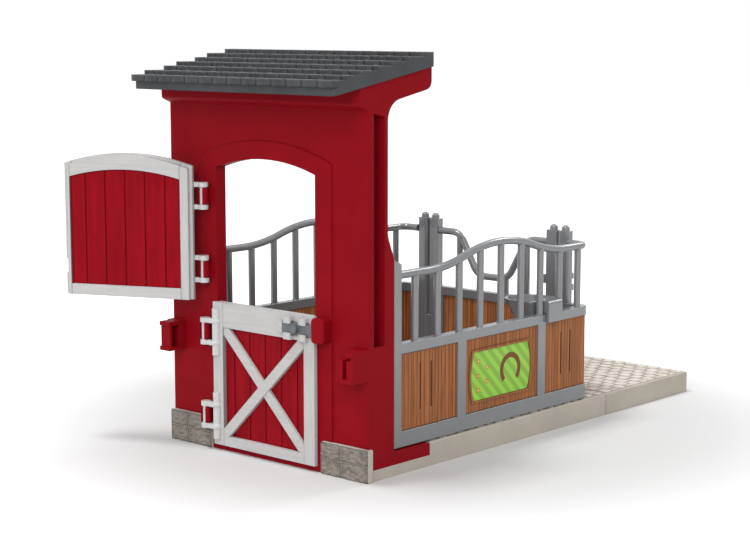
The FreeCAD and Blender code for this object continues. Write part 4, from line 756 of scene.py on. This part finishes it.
class STALL_OT_sticker(bpy.types.Operator):
    """Prints a horseshoe and a row of dots on the fence sticker"""
    bl_idname = "stall.sticker"
    bl_label = "Sticker print"

    def execute(self, context):
        settings = context.scene.stall.sticker
        lo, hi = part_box("fence_sticker")
        long, tall = hi.y - lo.y, hi.z - lo.z
        middle = (lo.z + hi.z) / 2
        shoe = band_points(hi.x + settings.film, hi.y - long * settings.spot, middle, settings.shoe - settings.band,
                           settings.shoe, settings.gap - math.pi / 2, 1.5 * math.pi - settings.gap, SHOE_SIDES)
        add_mesh("sticker_shoe", shoe, grid_faces(2, SHOE_SIDES, 1)[:, ::-1], finish_of("ink_brown"), "stall")
        for name, radius, ink, layer in (("sticker_dots", settings.dot, "ink_orange", 1),
                                         ("sticker_eyes", settings.dot * settings.eye, "ink_cream", 2)):
            discs = [band_points(hi.x + settings.film * layer, lo.y + long * along, middle + tall * up, 0.0, radius,
                                 0, 2 * math.pi, DOT_SIDES) for along, up in DOTS]
            add_mesh(name, np.concatenate(discs), grid_faces(2, DOT_SIDES, len(discs))[:, ::-1], finish_of(ink),
                     "stall")
        return {"FINISHED"}


class STALL_OT_hinges(bpy.types.Operator):
    """Lays the arms' bands round the hinge straps of the lower door and sets a rivet on each strap"""
    bl_idname = "stall.hinges"
    bl_label = "Hinge bands"

    def execute(self, context):
        settings = context.scene.stall.hinges
        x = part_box("lower_door_frame")[0].x + settings.inset
        middles = np.array([settings.low, settings.high])
        heights = np.add.outer(middles, settings.pitch * np.array([-0.5, 0.5])).ravel()
        places = np.array([(x, -settings.face, z) for z in heights])
        points, faces = strap_bands(places, settings.strap, settings.proud, settings.tall)
        add_mesh("hinge_bands", points, faces, finish_of("white_plastic"), "lower_door")
        spots = np.array([(x, -settings.face - settings.strap, z) for z in middles + settings.rivet_top])
        points, faces = dome_points(spots, np.array([1, 0, 0]), np.array([0, 0, 1]), np.array([0, -1, 0]),
                                    settings.rivet, settings.rivet / 2)
        add_mesh("hinge_rivets", points, faces, finish_of("white_plastic"), "lower_door")
        return {"FINISHED"}


class STALL_OT_stage(bpy.types.Operator):
    """Sets up the pale floor, the soft light and the camera"""
    bl_idname = "stall.stage"
    bl_label = "Stage"

    def execute(self, context):
        settings = context.scene.stall.stage
        scene = context.scene
        scene.view_settings.view_transform = "Standard"
        floor = bpy.data.meshes.new("floor")
        corners = [(x * FLOOR_HALF, y * FLOOR_HALF, 0) for x, y in ((-1, -1), (1, -1), (1, 1), (-1, 1))]
        floor.from_pydata(corners, [], [(0, 1, 2, 3)])
        floor.materials.append(self.floor_finish(scene.stall.paint.floor, settings))
        ground = bpy.data.objects.new("floor", floor)
        scene.collection.objects.link(ground)
        scene.world = self.backdrop(settings.ambient)
        lights = [self.lamp(scene, name, spot, turn, size, getattr(settings, watts))
                  for name, (spot, turn, size, watts) in LAMPS.items()]
        lens = bpy.data.cameras.new("camera")
        lens.lens = settings.lens
        lens.sensor_width = SENSOR_MM
        camera = bpy.data.objects.new("camera", lens)
        camera.location = settings.place
        camera.rotation_euler = (math.pi / 2 - settings.tilt, 0, settings.yaw)
        scene.collection.objects.link(camera)
        scene.camera = camera
        return {"FINISHED"}

    @staticmethod
    def seen(tree):
        """1 for camera, glossy and transmitted rays, else 0."""
        path = put(tree, "ShaderNodeLightPath")
        first = put(tree, "ShaderNodeMath", {0: path["Is Camera Ray"], 1: path["Is Glossy Ray"]},
                    operation="MAXIMUM")[0]
        return put(tree, "ShaderNodeMath", {0: first, 1: path["Is Transmission Ray"]}, operation="MAXIMUM")[0]

    def backdrop(self, ambient):
        """A world that lights with the ambient strength and is seen as white."""
        world = bpy.data.worlds.new("Studio")
        world.use_nodes = True
        tree = world.node_tree
        strength = put(tree, "ShaderNodeMapRange", {"Value": self.seen(tree)}, {"To Min": ambient, "To Max": 1.0})[0]
        background = tree.nodes["Background"]
        background.inputs["Color"].default_value = WHITE
        tree.links.new(strength, background.inputs["Strength"])
        return world

    def floor_finish(self, colour, settings):
        """A pale floor that keeps the object's shadow and is seen as white away from it."""
        material, tree, shader = new_material("Pale studio floor", 0.9, 0.0)
        shader.inputs["Base Color"].default_value = colour
        shader.inputs["Emission Color"].default_value = WHITE
        lo, hi = START
        spot = put(tree, "ShaderNodeTexCoord")["Object"]
        away = put(tree, "ShaderNodeVectorMath", {0: spot}, {1: (0, (lo[1] + hi[1]) / 2, 0)},
                   operation="DISTANCE")["Value"]
        fade = put(tree, "ShaderNodeMapRange", {"Value": away},
                   {"From Min": settings.near, "From Max": settings.far, "To Max": settings.glow},
                   interpolation_type="SMOOTHSTEP")[0]
        glow = put(tree, "ShaderNodeMath", {0: fade, 1: self.seen(tree)}, operation="MULTIPLY")[0]
        tree.links.new(glow, shader.inputs["Emission Strength"])
        return material

    @staticmethod
    def lamp(scene, name, spot, turn, size, watts):
        """A square area lamp."""
        data = bpy.data.lights.new(name, "AREA")
        data.size = size
        data.energy = watts
        lamp = bpy.data.objects.new(name, data)
        lamp.location = spot
        lamp.rotation_euler = turn
        scene.collection.objects.link(lamp)
        return lamp


class STALL_PT_panel(bpy.types.Panel):
    """Buttons and settings of the stall"""
    bl_label = "Toy horse stall"
    bl_space_type = "VIEW_3D"
    bl_region_type = "UI"
    bl_category = "Stall"

    def draw(self, context):
        for operator, groups in STEPS:
            self.layout.operator(operator.bl_idname)
            for group in groups:
                settings = getattr(context.scene.stall, group)
                for name in type(settings).__annotations__:
                    self.layout.prop(settings, name)


STEPS = [(STALL_OT_finishes, ("paint", "doors")), (STALL_OT_cobbles, ("cobbles",)),
         (STALL_OT_corner_stones, ("quarry",)), (STALL_OT_sticker, ("sticker",)), (STALL_OT_hinges, ("hinges",)),
         (STALL_OT_stage, ("stage",))]
CLASSES = [PaintSettings, DoorSettings, CobbleSettings, QuarrySettings, StickerSettings, HingeSettings, StageSettings,
           StallSettings, *[operator for operator, _ in STEPS], STALL_PT_panel]


def register():
    """Registers the classes and the settings."""
    for item in CLASSES:
        bpy.utils.register_class(item)
    bpy.types.Scene.stall = bpy.props.PointerProperty(type=StallSettings)


def unregister():
    """Takes the settings and the classes out again."""
    del bpy.types.Scene.stall
    for item in reversed(CLASSES):
        bpy.utils.unregister_class(item)


def main():
    """Builds everything: registers the settings and runs each step."""
    register()
    for operator, _ in STEPS:
        area, name = operator.bl_idname.split(".")
        getattr(getattr(bpy.ops, area), name)()


if __name__ == "__main__":
    main()
